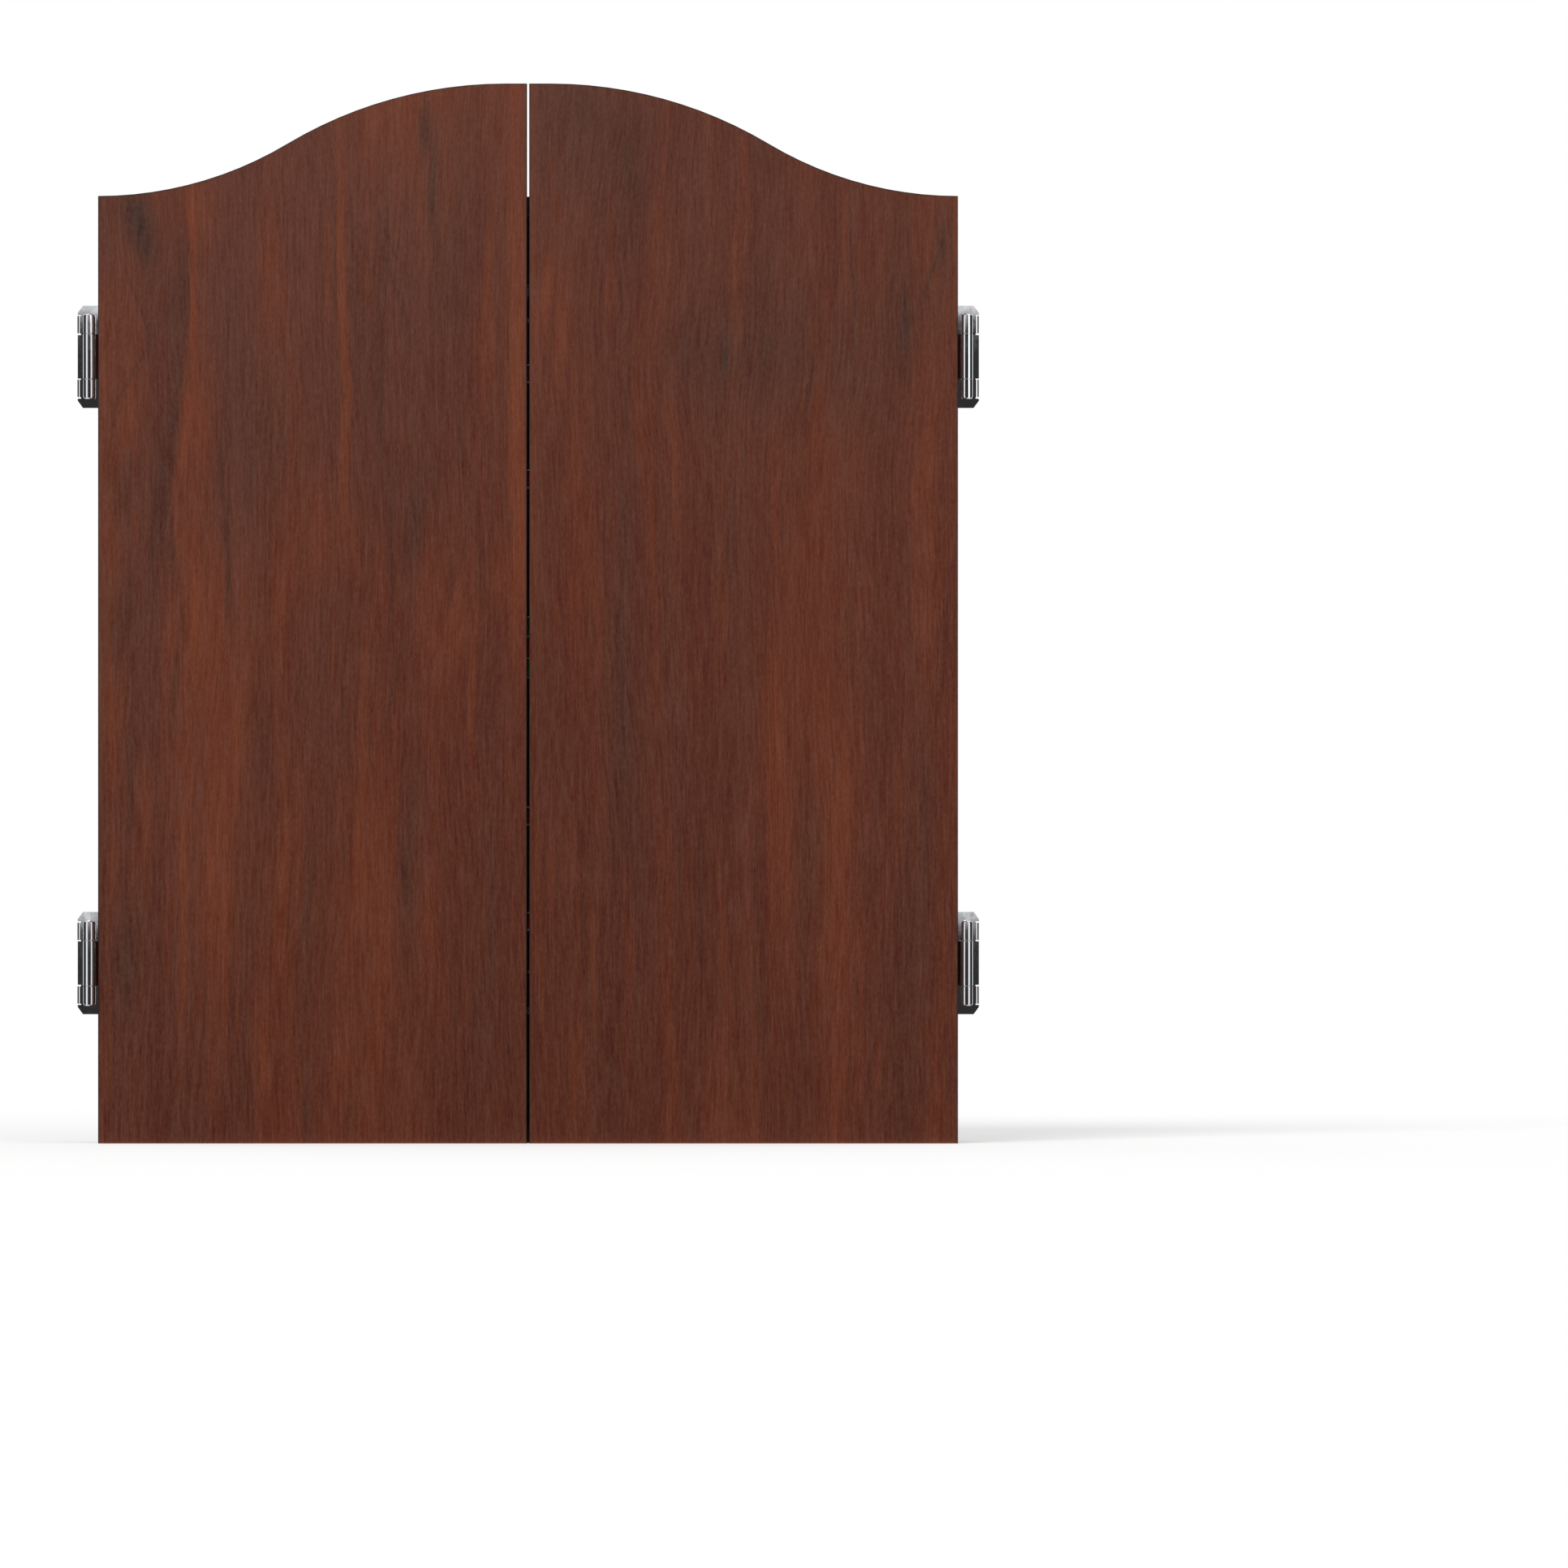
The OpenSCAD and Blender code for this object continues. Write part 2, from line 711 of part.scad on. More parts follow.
module door_panel(side) {
    color(wood) difference() {
        translate([side * half_w, door_back_y, floor_z]) mirror([side == RIGHT ? 1 : 0, 0, 0])
            rotate([90, 0, 0]) linear_extrude(door_t) door_outline();
        at_side_hinges(side) at_door_screws()
            screw_form(door_screw_len, hinge_screw_r, hinge_head_r);
        at_strike_screw(side) screw_form(strike_screw_len, catch_screw_r, catch_head_r);
        at_rack(side) at_rack_screws() screw_form(rack_screw_len, rack_screw_r, rack_head_r);
    }
}

module scoreboard(side) {
    near_x = side > 0 ? score_in_x : -score_in_x - score_w;
    color(black) translate([near_x, door_back_y, score_low_z])
        cube([score_w, score_t, score_high_z - score_low_z]);
}

// A rack's block seen from above, with its front corners rounded
module rack_outline() {
    corner = rack_w / 2 - rack_corner_r;
    difference() {
        union() {
            flat_span([-rack_w / 2, 0], [rack_w / 2, rack_d - rack_corner_r]);
            flat_span([-corner, 0], [corner, rack_d]);
            for (end = SIDES) translate([end * corner, rack_d - rack_corner_r])
                circle(rack_corner_r);
        }
        for (i = [-1:1]) translate([i * dart_pitch, dart_out]) circle(dart_hole_r);
    }
}

module dart_rack(side) {
    color(wood) at_rack(side) difference() {
        translate([0, 0, -rack_h]) linear_extrude(rack_h) rack_outline();
        at_rack_screws() screw_form(rack_screw_len, rack_screw_r, rack_head_r);
    }
}

module rack_screws(side) {
    at_rack(side) at_rack_screws() cross_screw(rack_screw_len, rack_screw_r, rack_head_r);
}

// ---------- catches ----------

module catch_pocket() {
    span(
        [catch_wall - catch_body_w / 2, -cut, catch_pocket_low],
        [catch_body_w / 2 - catch_wall, catch_depth - catch_wall, catch_pocket_high]
    );
}

module catch_housing(side) {
    color("#d8d2c4") at_catch(side) difference() {
        union() {
            span([-catch_w / 2, 0, -catch_foot_t], [catch_w / 2, catch_depth, 0]);
            span([-catch_body_w / 2, 0, -catch_h], [catch_body_w / 2, catch_depth, 0]);
        }
        catch_pocket();
        at_catch_screws() screw_form(catch_screw_len, catch_screw_r, catch_head_r);
    }
}

module catch_magnets() {
    color("#3a3a3c") for (side = SIDES) at_catch(side) span(
        [catch_wall - catch_body_w / 2, 0, catch_pocket_low + pole_t],
        [catch_body_w / 2 - catch_wall, catch_depth - catch_wall, catch_pocket_high - pole_t]
    );
}

module catch_pole_plates() {
    color(steel) for (side = SIDES, low = [catch_pocket_low, catch_pocket_high - pole_t])
        at_catch(side) span(
            [catch_wall - catch_body_w / 2, -pole_proud, low],
            [catch_body_w / 2 - catch_wall, catch_depth - catch_wall, low + pole_t]
        );
}

module catch_screws() {
    for (side = SIDES) at_catch(side) at_catch_screws()
        cross_screw(catch_screw_len, catch_screw_r, catch_head_r);
}

module strike_plate(side) {
    color(steel) difference() {
        translate([side * catch_x - strike_w / 2, door_back_y, catch_mid_z - strike_h / 2])
            cube([strike_w, strike_t, strike_h]);
        at_strike_screw(side) screw_form(strike_screw_len, catch_screw_r, catch_head_r);
    }
}

module strike_screw(side) {
    at_strike_screw(side) cross_screw(strike_screw_len, catch_screw_r, catch_head_r);
}

// ---------- board ----------

// A disc or ring of the board, between two depths
module disc(r, back_y, front) {
    translate([0, back_y, 0]) rotate([90, 0, 0]) cylinder(h = back_y - front, r = r);
}

// A ring of round wire that lies on the board's face
module wire_ring(ring_r, wire_r, fit = 0) {
    translate([0, face_y - wire_r, 0]) rotate([90, 0, 0]) rotate_extrude()
        translate([ring_r, 0]) circle(wire_r + fit);
}

module rivet_form() {
    rotate_extrude() polygon([
        [0, rivet_head_h], [rivet_head_r * 0.6, rivet_head_h * 0.85],
        [rivet_head_r, rivet_head_h * 0.2], [rivet_head_r, 0], [rivet_r, 0],
        [rivet_r, rivet_r - rivet_len], [0, -rivet_len]
    ]);
}

module sisal_disc() {
    color("#171717") difference() {
        disc(sisal_r, sisal_back_y, face_y);
        hanging_screw_form();
        at_rivets() rivet_form();
    }
}

module board_backing() {
    color("#8a6a45") difference() {
        disc(sisal_r, board_back_y, sisal_back_y);
        hanging_screw_form();
    }
}

module rim_band() {
    color(black) difference() {
        disc(board_r, board_back_y, face_y);
        disc(sisal_r, board_back_y + cut, face_y - cut);
    }
}

module spider_rings() {
    color(steel) for (r = spider_radii) wire_ring(r, spider_wire_r);
}

// A spoke's end: it comes from +Z, over the rings, and turns down to the face at y = 0
module spoke_end() {
    leg = spoke_lift - spoke_bend_r;
    translate([0, -leg, spoke_bend_r]) rotate([180, 90, 0]) rotate_extrude(angle = 90)
        translate([spoke_bend_r, 0]) circle(spider_wire_r);
    rotate([90, 0, 0]) cylinder(h = leg, r = spider_wire_r);
}

// A spoke points up from the bull and lies on the rings
module spoke() {
    translate([0, 0, spoke_in_r]) spoke_end();
    translate([0, -spoke_lift, spoke_in_r + spoke_bend_r])
        cylinder(h = spoke_out_r - spoke_in_r - 2 * spoke_bend_r, r = spider_wire_r);
    translate([0, 0, spoke_out_r]) mirror([0, 0, 1]) spoke_end();
}

module spider_spokes() {
    color(steel) for (i = [0:spoke_count - 1])
        translate([0, face_y, 0]) rotate([0, (i + 0.5) * spoke_angle, 0]) spoke();
}

module number_ring() {
    color("white") wire_ring(number_ring_r, number_wire_r);
}

// A layer of a clip, with its outer edge along the board's rim
module clip_layer(height, border) {
    half = ring_clip_w / 2 - border;
    translate([0, face_y, 0]) rotate([90, 0, 0]) linear_extrude(height) intersection() {
        circle(ring_clip_out_r - border);
        flat_span([ring_clip_out_r - ring_clip_d + border, -half], [ring_clip_out_r, half]);
    }
}

// A clip has a raised pad within its border and a groove for the number ring
module number_ring_clips() {
    color(black) difference() {
        at_ring_clips() {
            clip_layer(ring_clip_h - ring_clip_step, 0);
            clip_layer(ring_clip_h, ring_clip_border);
        }
        wire_ring(number_ring_r, number_wire_r, ring_clip_fit);
        at_rivets() rivet_form();
    }
}

module clip_rivets() {
    color(steel) at_rivets() rivet_form();
}

module board_bumpers() {
    color(black) for (i = [0:bumper_count - 1]) rotate([0, i * 360 / bumper_count, 0])
        translate([0, 0, bumper_circle_r])
            disc(bumper_r, -back_t - bumper_clearance, board_back_y);
}

// ---------- nodes ----------

side_panel(LEFT);  // side_panel_left
side_panel(RIGHT);  // side_panel_right
top_panel();
bottom_panel();
back_panel();
corner_dowels();
back_panel_nails();
board_bracket();
bracket_screws();
catch_housing(LEFT);  // catch_housing_left
catch_housing(RIGHT);  // catch_housing_right
catch_magnets();
catch_pole_plates();
catch_screws();
fixed_leaf(LEFT, hinge_top_h);  // fixed_leaf_top_left
fixed_leaf(LEFT, hinge_low_h);  // fixed_leaf_bottom_left
fixed_leaf(RIGHT, hinge_top_h);  // fixed_leaf_top_right
fixed_leaf(RIGHT, hinge_low_h);  // fixed_leaf_bottom_right
hinge_pin(LEFT, hinge_top_h);  // hinge_pin_top_left
hinge_pin(LEFT, hinge_low_h);  // hinge_pin_bottom_left
hinge_pin(RIGHT, hinge_top_h);  // hinge_pin_top_right
hinge_pin(RIGHT, hinge_low_h);  // hinge_pin_bottom_right
fixed_leaf_screws();
door_panel(LEFT);  // door_panel_left
scoreboard(LEFT);  // scoreboard_left
dart_rack(LEFT);  // dart_rack_left
rack_screws(LEFT);  // rack_screws_left
strike_plate(LEFT);  // strike_plate_left
strike_screw(LEFT);  // strike_screw_left
door_leaf(LEFT, hinge_top_h);  // door_leaf_top_left
door_leaf(LEFT, hinge_low_h);  // door_leaf_bottom_left
door_leaf_screws(LEFT);  // door_leaf_screws_left
door_panel(RIGHT);  // door_panel_right
scoreboard(RIGHT);  // scoreboard_right
dart_rack(RIGHT);  // dart_rack_right
rack_screws(RIGHT);  // rack_screws_right
strike_plate(RIGHT);  // strike_plate_right
strike_screw(RIGHT);  // strike_screw_right
door_leaf(RIGHT, hinge_top_h);  // door_leaf_top_right
door_leaf(RIGHT, hinge_low_h);  // door_leaf_bottom_right
door_leaf_screws(RIGHT);  // door_leaf_screws_right
sisal_disc();
rim_band();
board_backing();
spider_rings();
spider_spokes();
number_ring();
number_ring_clips();
clip_rivets();
hanging_screw();
board_bumpers();
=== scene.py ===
"""Looks for the dart board cabinet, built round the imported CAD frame.

Everything is in metres in the CAD frame: +X right, +Y to the wall, +Z up, with the
origin on the wall behind the bull. The frame's nodes keep their shapes and get
procedural materials. The wire numbers, the spider's staples and the marks on the
scoreboards are made here.
"""

import math

import bpy
from mathutils import Matrix, Vector


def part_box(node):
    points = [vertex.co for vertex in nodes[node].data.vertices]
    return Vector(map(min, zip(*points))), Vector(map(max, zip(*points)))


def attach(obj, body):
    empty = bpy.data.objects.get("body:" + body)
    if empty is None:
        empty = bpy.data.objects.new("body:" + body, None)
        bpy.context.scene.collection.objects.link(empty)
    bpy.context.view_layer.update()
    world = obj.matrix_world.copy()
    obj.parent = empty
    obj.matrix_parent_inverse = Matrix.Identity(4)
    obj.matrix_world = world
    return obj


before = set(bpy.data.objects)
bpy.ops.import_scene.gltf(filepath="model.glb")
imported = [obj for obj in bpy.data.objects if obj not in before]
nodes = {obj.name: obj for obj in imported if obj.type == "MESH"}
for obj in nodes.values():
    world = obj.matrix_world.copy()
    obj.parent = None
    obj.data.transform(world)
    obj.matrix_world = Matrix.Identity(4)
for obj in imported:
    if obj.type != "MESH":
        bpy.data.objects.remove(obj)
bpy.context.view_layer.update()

MM = 0.001

# ---------------------------------------------------------------- places in the frame
door_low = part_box("door_panel_left")[0]
FRONT = door_low.y
FLOOR = door_low.z
HINGED = door_low.x  # the left door's hinged edge
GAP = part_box("door_panel_right")[0].x  # half the gap between the doors
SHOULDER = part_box("side_panel_left")[1].z
SISAL_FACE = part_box("sisal_disc")[0].y
SPOKE_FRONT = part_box("spider_spokes")[0].y
RING_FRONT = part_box("number_ring")[0].y

# the board's circles, in millimetres, at the middles of their wires
BULL, OUTER_BULL = 6.6, 18.3
TREBLE_IN, TREBLE_OUT = 96.9, 107.5
DOUBLE_IN, DOUBLE_OUT = 160.8, 171.4
SEGMENTS = 20
STEP = 2 * math.pi / SEGMENTS

# the doors' arch, in millimetres: its rise, its flat at the crown, and the radius of
# the hollow by the hinges
ARCH_RISE, ARCH_FLAT, HOLLOW_R = 68, 13, 223


def tone(red, green, blue):
    """A colour as it should show on screen, 0 to 255, as linear RGBA."""

    def linear(level):
        level /= 255
        return level / 12.92 if level <= 0.04045 else ((level + 0.055) / 1.055) ** 2.4

    return (linear(red), linear(green), linear(blue), 1.0)


# ---------------------------------------------------------------- node building
class Term:
    """A number inside a material, for plain arithmetic between nodes."""

    def __init__(self, graph, socket):
        self.graph = graph
        self.socket = socket

    def __add__(self, other):
        return self.graph.math("ADD", self, other)

    def __sub__(self, other):
        return self.graph.math("SUBTRACT", self, other)

    def __rsub__(self, other):
        return self.graph.math("SUBTRACT", other, self)

    def __mul__(self, other):
        return self.graph.math("MULTIPLY", self, other)

    def __truediv__(self, other):
        return self.graph.math("DIVIDE", self, other)

    def __gt__(self, other):
        return self.graph.math("GREATER_THAN", self, other)

    def __lt__(self, other):
        return self.graph.math("LESS_THAN", self, other)

    __radd__ = __add__
    __rmul__ = __mul__


class Graph:
    """One material's nodes, round a Principled shader."""

    def __init__(self, name, **constants):
        self.material = bpy.data.materials.new(name)
        self.material.use_nodes = True
        self.tree = self.material.node_tree
        self.tree.nodes.clear()
        self.shader = self.add("ShaderNodeBsdfPrincipled")
        self.output = self.add("ShaderNodeOutputMaterial")
        self.tree.links.new(self.shader.outputs[0], self.output.inputs[0])
        self.set(**constants)
        place = self.add("ShaderNodeTexCoord").outputs["Object"]
        split = self.add("ShaderNodeSeparateXYZ", Vector=place)
        self.x, self.y, self.z = (Term(self, s) for s in split.outputs)

    def feed(self, socket, value):
        if isinstance(value, Term):
            value = value.socket
        if isinstance(value, bpy.types.NodeSocket):
            self.tree.links.new(value, socket)
        else:
            socket.default_value = value

    def add(self, kind, settings=None, **inputs):
        node = self.tree.nodes.new(kind)
        for key, value in (settings or {}).items():
            setattr(node, key, value)
        for key, value in inputs.items():
            self.feed(node.inputs[key.replace("_", " ")], value)
        return node

    def set(self, **inputs):
        for key, value in inputs.items():
            self.feed(self.shader.inputs[key.replace("_", " ")], value)

    def math(self, operation, *values):
        node = self.tree.nodes.new("ShaderNodeMath")
        node.operation = operation
        for socket, value in zip(node.inputs, values):
            self.feed(socket, value)
        return Term(self, node.outputs[0])

    def vector(self, x, y, z):
        return self.add("ShaderNodeCombineXYZ", X=x, Y=y, Z=z).outputs[0]

    def noise(self, x, y, z, detail=2.0, rough=0.5, twist=0.0):
        """Noise from 0 to 1 at that place, where one unit is about one grain."""
        node = self.add(
            "ShaderNodeTexNoise",
            Vector=self.vector(x, y, z),
            Scale=1.0,
            Detail=detail,
            Roughness=rough,
            Distortion=twist,
        )
        return Term(self, node.outputs[0])

    def even_noise(self, scale, detail=2.0, rough=0.5):
        """Noise with the same grain every way, scale grains to the metre."""
        return self.noise(self.x * scale, self.y * scale, self.z * scale, detail, rough)

    def cells(self, x, y, z):
        """A level from 0 to 1 that is even within each cell of a Voronoi pattern."""
        node = self.add("ShaderNodeTexVoronoi", Vector=self.vector(x, y, z), Scale=1.0)
        split = self.add("ShaderNodeSeparateColor", Color=node.outputs["Color"])
        return Term(self, split.outputs[0])

    def ramp(self, value, low, high, bottom=0.0, top=1.0):
        """Rises smoothly from bottom to top while value goes from low to high."""
        node = self.add(
            "ShaderNodeMapRange",
            {"interpolation_type": "SMOOTHSTEP"},
            Value=value,
            From_Min=low,
            From_Max=high,
            To_Min=bottom,
            To_Max=top,
        )
        return Term(self, node.outputs[0])

    def blend(self, factor, first, second, mode="MIX"):
        node = self.tree.nodes.new("ShaderNodeMix")
        node.data_type = "RGBA"
        node.blend_type = mode
        self.feed(node.inputs[0], factor)
        self.feed(node.inputs[6], first)
        self.feed(node.inputs[7], second)
        return node.outputs[2]

    def shade(self, colour, grey):
        """The colour times a grey level."""
        return self.blend(1.0, colour, grey, "MULTIPLY")

    def lift(self, colour, amount, light):
        """The colour with an amount of light, above or below nothing, added to it."""
        more = self.add("ShaderNodeVectorMath", {"operation": "SCALE"}, Scale=amount)
        more.inputs[0].default_value = light
        return self.blend(1.0, colour, more.outputs[0], "ADD")

    def bump(self, height, distance):
        """Relief, with the height's 0 to 1 standing for a distance in metres."""
        node = self.add("ShaderNodeBump", Height=height, Distance=distance, Strength=1.0)
        self.set(Normal=node.outputs[0])


# ---------------------------------------------------------------- wood
# the wood's tone with painted sheen, at the top left, and without it, at the bottom
# right
WOOD_PAINTED_SHEEN = tone(88, 40, 22)
WOOD_UNSHEENED = tone(87, 34, 7)
WOOD_DARK = tone(58, 30, 17)
WOOD_RED = tone(114, 50, 17)
FIBRE = (0.0245, 0.0138, 0.0112)

# figures in the print on the doors' fronts, and two broad ones of painted shade on
# the right door: x and z of the middle, half width, half height, strength, lean; the
# first list darkens, and the grain parts round it, and the second reddens
DARK_FIGURES = (
    # left door, down from its outer corner
    (-236, 260, 11, 22, 0.85, -0.10),
    (-231, 240, 5, 18, 0.42, -0.15),
    (-238, 214, 1.0, 22, 0.40, -0.40),
    (-214, 214, 1.0, 26, 0.30, 0.30),
    (-211, 195, 5, 52, 0.50, 0.03),
    (-206, 212, 1.2, 30, 0.60, 0.0),
    (-217, 122, 5, 36, 0.36, 0.12),
    (-214, 58, 5, 50, 0.40, -0.14),
    (-231, 196, 2.0, 26, 0.35, -0.16),
    (-238, 168, 2.0, 22, 0.40, 0.60),
    (-243, 104, 9, 26, 0.38, 0.10),
    (-247, 20, 9, 40, 0.45, 0.06),
    (-78, 214, 1.8, 32, 0.36, -0.35),
    (-86, 252, 1.1, 30, 0.40, -0.42),
    (-92, 226, 0.9, 26, 0.32, -0.50),
    (-116, 235, 0.8, 60, 0.45, -0.02),
    (-57, 278, 2.2, 24, 0.55, 0.0),
    (-62, 315, 5, 20, 0.60, 0.0),
    (-67, 74, 6, 30, 0.48, 0.10),
    (-39, 126, 0.8, 46, 0.50, 0.0),
    (-13, 180, 0.7, 140, 0.35, 0.0),
    (-30, 40, 6, 30, 0.30, 0.0),
    (-168, 100, 0.9, 26, 0.35, 0.0),
    (-213, -25, 3, 36, 0.35, 0.10),
    (-240, -80, 2.0, 44, 0.40, 0.08),
    (-243, -190, 11, 30, 0.40, 0.0),
    (-163, -62, 9, 34, 0.28, 0.0),
    (-113, -48, 0.9, 38, 0.40, 0.05),
    (-104, -40, 0.9, 44, 0.35, 0.05),
    (-95, -52, 0.9, 36, 0.40, 0.03),
    (-80, -22, 1.8, 24, 0.50, 0.20),
    (-113, -125, 3, 13, 0.38, 0.0),
    (-70, -120, 9, 60, 0.20, 0.0),
    # right door
    (60, 290, 12, 46, 0.36, 0.0),
    (55, 222, 0.9, 24, 0.35, 0.0),
    (119, 176, 1.5, 14, 0.50, 0.0),
    (118, 90, 9, 60, 0.30, 0.0),
    (196, 236, 0.8, 56, 0.45, 0.0),
    (219, 220, 0.8, 50, 0.40, 0.0),
    (229, 190, 4, 26, 0.45, 0.0),
    (252, 246, 5, 20, 0.50, 0.0),
    (244, 226, 1.2, 22, 0.45, 0.42),
    (56, -40, 8, 80, 0.35, 0.0),
    (170, -140, 10, 80, 0.35, 0.0),
    # broad, faint changes of tone
    (-155, 128, 22, 60, 0.36, 0.0),
    (-96, -200, 22, 46, 0.20, 0.0),
    # painted shade: darkens the right door broadly, as less light falls on it
    (100, 250, 130, 130, 0.17, 0.0),
    (28, 322, 30, 46, 0.40, 0.0),
    (188, 172, 52, 46, 0.30, 0.0),
    (112, 176, 44, 34, 0.32, 0.0),
    (238, 214, 18, 30, 0.25, 0.0),
)
RED_FIGURES = (
    # left door
    (-111.5, 200, 2.9, 95, 1.15, -0.02),
    (-110, 110, 3.4, 40, 0.50, -0.05),
    (-7, 150, 5.0, 190, 0.60, 0.0),
    (-204, 204, 1.8, 24, 0.65, 0.0),
    (-208, 128, 2.2, 26, 0.75, 0.12),
    (-198, 140, 8, 26, 0.25, 0.0),
    (-211, 62, 1.8, 30, 0.65, -0.06),
    (-155, 215, 12, 60, 0.20, 0.0),
    (-117, 68, 20, 36, 0.32, 0.0),
    (-202, 14, 20, 40, 0.38, 0.0),
    (-202, 10, 2.0, 34, 0.50, -0.06),
    (-88, 36, 3.0, 32, 0.45, 0.0),
    (-237, 128, 7, 26, 0.28, 0.0),
    (-44, 10, 12, 30, 0.35, 0.0),
    (-232, -107, 5, 40, 0.50, 0.0),
    (-187, -110, 10, 90, 0.35, 0.0),
    (-100, -170, 16, 70, 0.25, 0.0),
    # right door
    (12, 215, 4.0, 26, 0.75, 0.0),
    (20, 180, 5.0, 44, 0.40, 0.10),
    (30, 60, 6.0, 90, 0.38, 0.0),
    (125, 195, 3.5, 60, 0.55, 0.0),
    (240, 60, 8.0, 90, 0.38, 0.0),
    (150, -60, 12.0, 80, 0.32, 0.0),
    # broad changes of tone
    # painted shade: reddens the right door broadly, as it catches less sheen than the
    # left
    (150, 190, 80, 110, 0.20, 0.0),
    (-66, 330, 66, 62, 0.56, 0.0),
    (-54, 40, 17, 110, 0.30, 0.0),
    (-20, 42, 12, 24, 0.35, 0.0),
    (-208, 268, 24, 24, 0.40, 0.0),
)


def figures(g, across, along, rows):
    """The sum of soft upright figures, and how far the grain parts round them."""
    total, parting = 0.0, 0.0
    for x, z, half_width, half_height, strength, lean in rows:
        rise = along - z * MM
        u = across - x * MM - rise * lean
        w = rise / (half_height * MM)
        size = u / (half_width * MM)
        fall = g.math("EXPONENT", (size * size + w * w) * -1.0)
        total = fall * strength + total
        parting = u * fall * strength + parting
    return total, parting


def laminate(name, along="z", door=False):
    """Dark red-brown wood print under a satin film, with its grain along an axis."""
    g = Graph(name, Specular_IOR_Level=0.35)
    run, across, depth = (g.z, g.x, g.y) if along == "z" else (g.x, g.z, g.y)
    sway = g.noise(across * 7, depth * 7, run * 2.2, 2.0)
    curl = g.noise(across * 34, depth * 34, run * 16, 2.0)
    u = across + (sway - 0.5) * 0.03 + (curl - 0.5) * 0.004
    dark, red = 0.0, 0.0
    if door:
        frontal = g.y < FRONT + 0.3 * MM
        place = across + (curl - 0.5) * 0.008
        dark, parting = figures(g, place, run, DARK_FIGURES)
        red, _ = figures(g, place, run, RED_FIGURES)
        dark, red = dark * frontal, red * frontal
        u = u - parting * 0.7

    broad = g.noise(u * 19, depth * 19, run * 2.0 + 4.0, 3.0, 0.55)
    grain = g.noise(u * 42, depth * 42, run * 2.6, 6.0, 0.85)
    tint = g.noise(u * 55 + 3.0, depth * 55, run * 3.2, 4.0, 0.7)
    streak = g.noise(u * 150, depth * 150, run * 5 + 9.0, 3.0, 0.6)
    hair = g.noise(u * 620, depth * 620, run * 40, 3.0, 0.75)
    fleck = g.noise(u * 700, depth * 700, run * 300, 3.0, 0.7)

    rough = (grain - 0.5) * 1.6 + 1.0
    dark = g.ramp(tint, 0.44, 0.26) * 0.50 + dark * rough
    dark = g.ramp(broad, 0.47, 0.30) * 0.22 + dark
    red = g.ramp(streak, 0.56, 0.68) * 0.20 + red * rough
    red = g.ramp(tint, 0.50, 0.70) * 0.50 + red
    red = g.ramp(broad, 0.47, 0.64) * 0.30 + red
    # painted sheen: the wood turns paler and greyer towards the top and the left
    painted_sheen = g.ramp(g.z - g.x * 2.0, -0.05, 0.55)
    colour = g.blend(painted_sheen, WOOD_UNSHEENED, WOOD_PAINTED_SHEEN)
    colour = g.blend(g.math("MINIMUM", red, 1.0), colour, WOOD_RED)
    colour = g.blend(g.math("MINIMUM", dark, 1.0), colour, WOOD_DARK)
    pale = (grain - 0.5) * 2.6 + (hair - 0.5) * 4.0 + (fleck - 0.5) * 2.8
    colour = g.lift(colour, pale, FIBRE)
    if door:
        # painted shade: a dark hair line along the doors' rounded edges
        colour = g.blend(edge_line(g) * 0.8, colour, tone(20, 10, 8))
    g.set(Base_Color=colour, Roughness=g.ramp(hair, 0.2, 0.8, 0.44, 0.54))
    g.bump(hair * 0.6 + fleck * 0.4, 0.00003)
    return g.material


def edge_line(g):
    """1 in a hair line of painted shade along the doors' upright edges and their arch,
    on the front.

    The arch is a hollow arc by the hinges, then a rounded one up to the crown's flat.
    """
    line = 0.7 * MM
    run = (-HINGED - GAP) - ARCH_FLAT * MM
    rise = ARCH_RISE * MM
    hollow = HOLLOW_R * MM
    angle = 2 * math.atan(rise / run)
    crown = run / math.sin(angle) - hollow
    turn = hollow * math.sin(angle)
    side = g.math("ABSOLUTE", g.x)
    u = -HINGED - side
    left = g.math("MINIMUM", u, turn)
    low = hollow - g.math("SQRT", hollow * hollow - left * left)
    rest = g.math("MAXIMUM", run - u, 0.0)
    high = rise - crown + g.math("SQRT", crown * crown - rest * rest)
    edge = g.math("MULTIPLY_ADD", u > turn, high - low, low)
    under = SHOULDER + edge - g.z
    nearest = g.math("MINIMUM", g.math("MINIMUM", u, side - GAP), under)
    return g.ramp(nearest, line * 1.2, line * 0.5) * (g.y < FRONT + 1.0 * MM)


def dowel_wood():
    g = Graph("dowel wood", Specular_IOR_Level=0.3)
    fibre = g.noise(g.x * 60, g.y * 900, g.z * 900, 3.0)
    colour = g.blend(fibre, tone(196, 160, 112), tone(224, 196, 150))
    g.set(Base_Color=colour, Roughness=g.ramp(fibre, 0.2, 0.8, 0.55, 0.7))
    g.bump(fibre, 0.00006)
    return g.material


def back_board():
    """Hardboard with a black coat on a fibrous face."""
    g = Graph("black hardboard", Specular_IOR_Level=0.35)
    fibre = g.noise(g.x * 260, g.y * 260, g.z * 1500, 4.0, 0.65)
    cross = g.noise(g.x * 1700, g.y * 260 + 5.0, g.z * 320, 4.0, 0.65)
    cloud = g.even_noise(14, 3.0)
    mix = fibre * 0.5 + cross * 0.5
    colour = g.blend(g.ramp(mix, 0.35, 0.7), tone(20, 18, 17), tone(46, 42, 39))
    colour = g.shade(colour, g.ramp(cloud, 0.3, 0.7, 0.85, 1.12))
    g.set(Base_Color=colour, Roughness=g.ramp(mix, 0.3, 0.7, 0.72, 0.88))
    g.bump(mix, 0.00012)
    return g.material


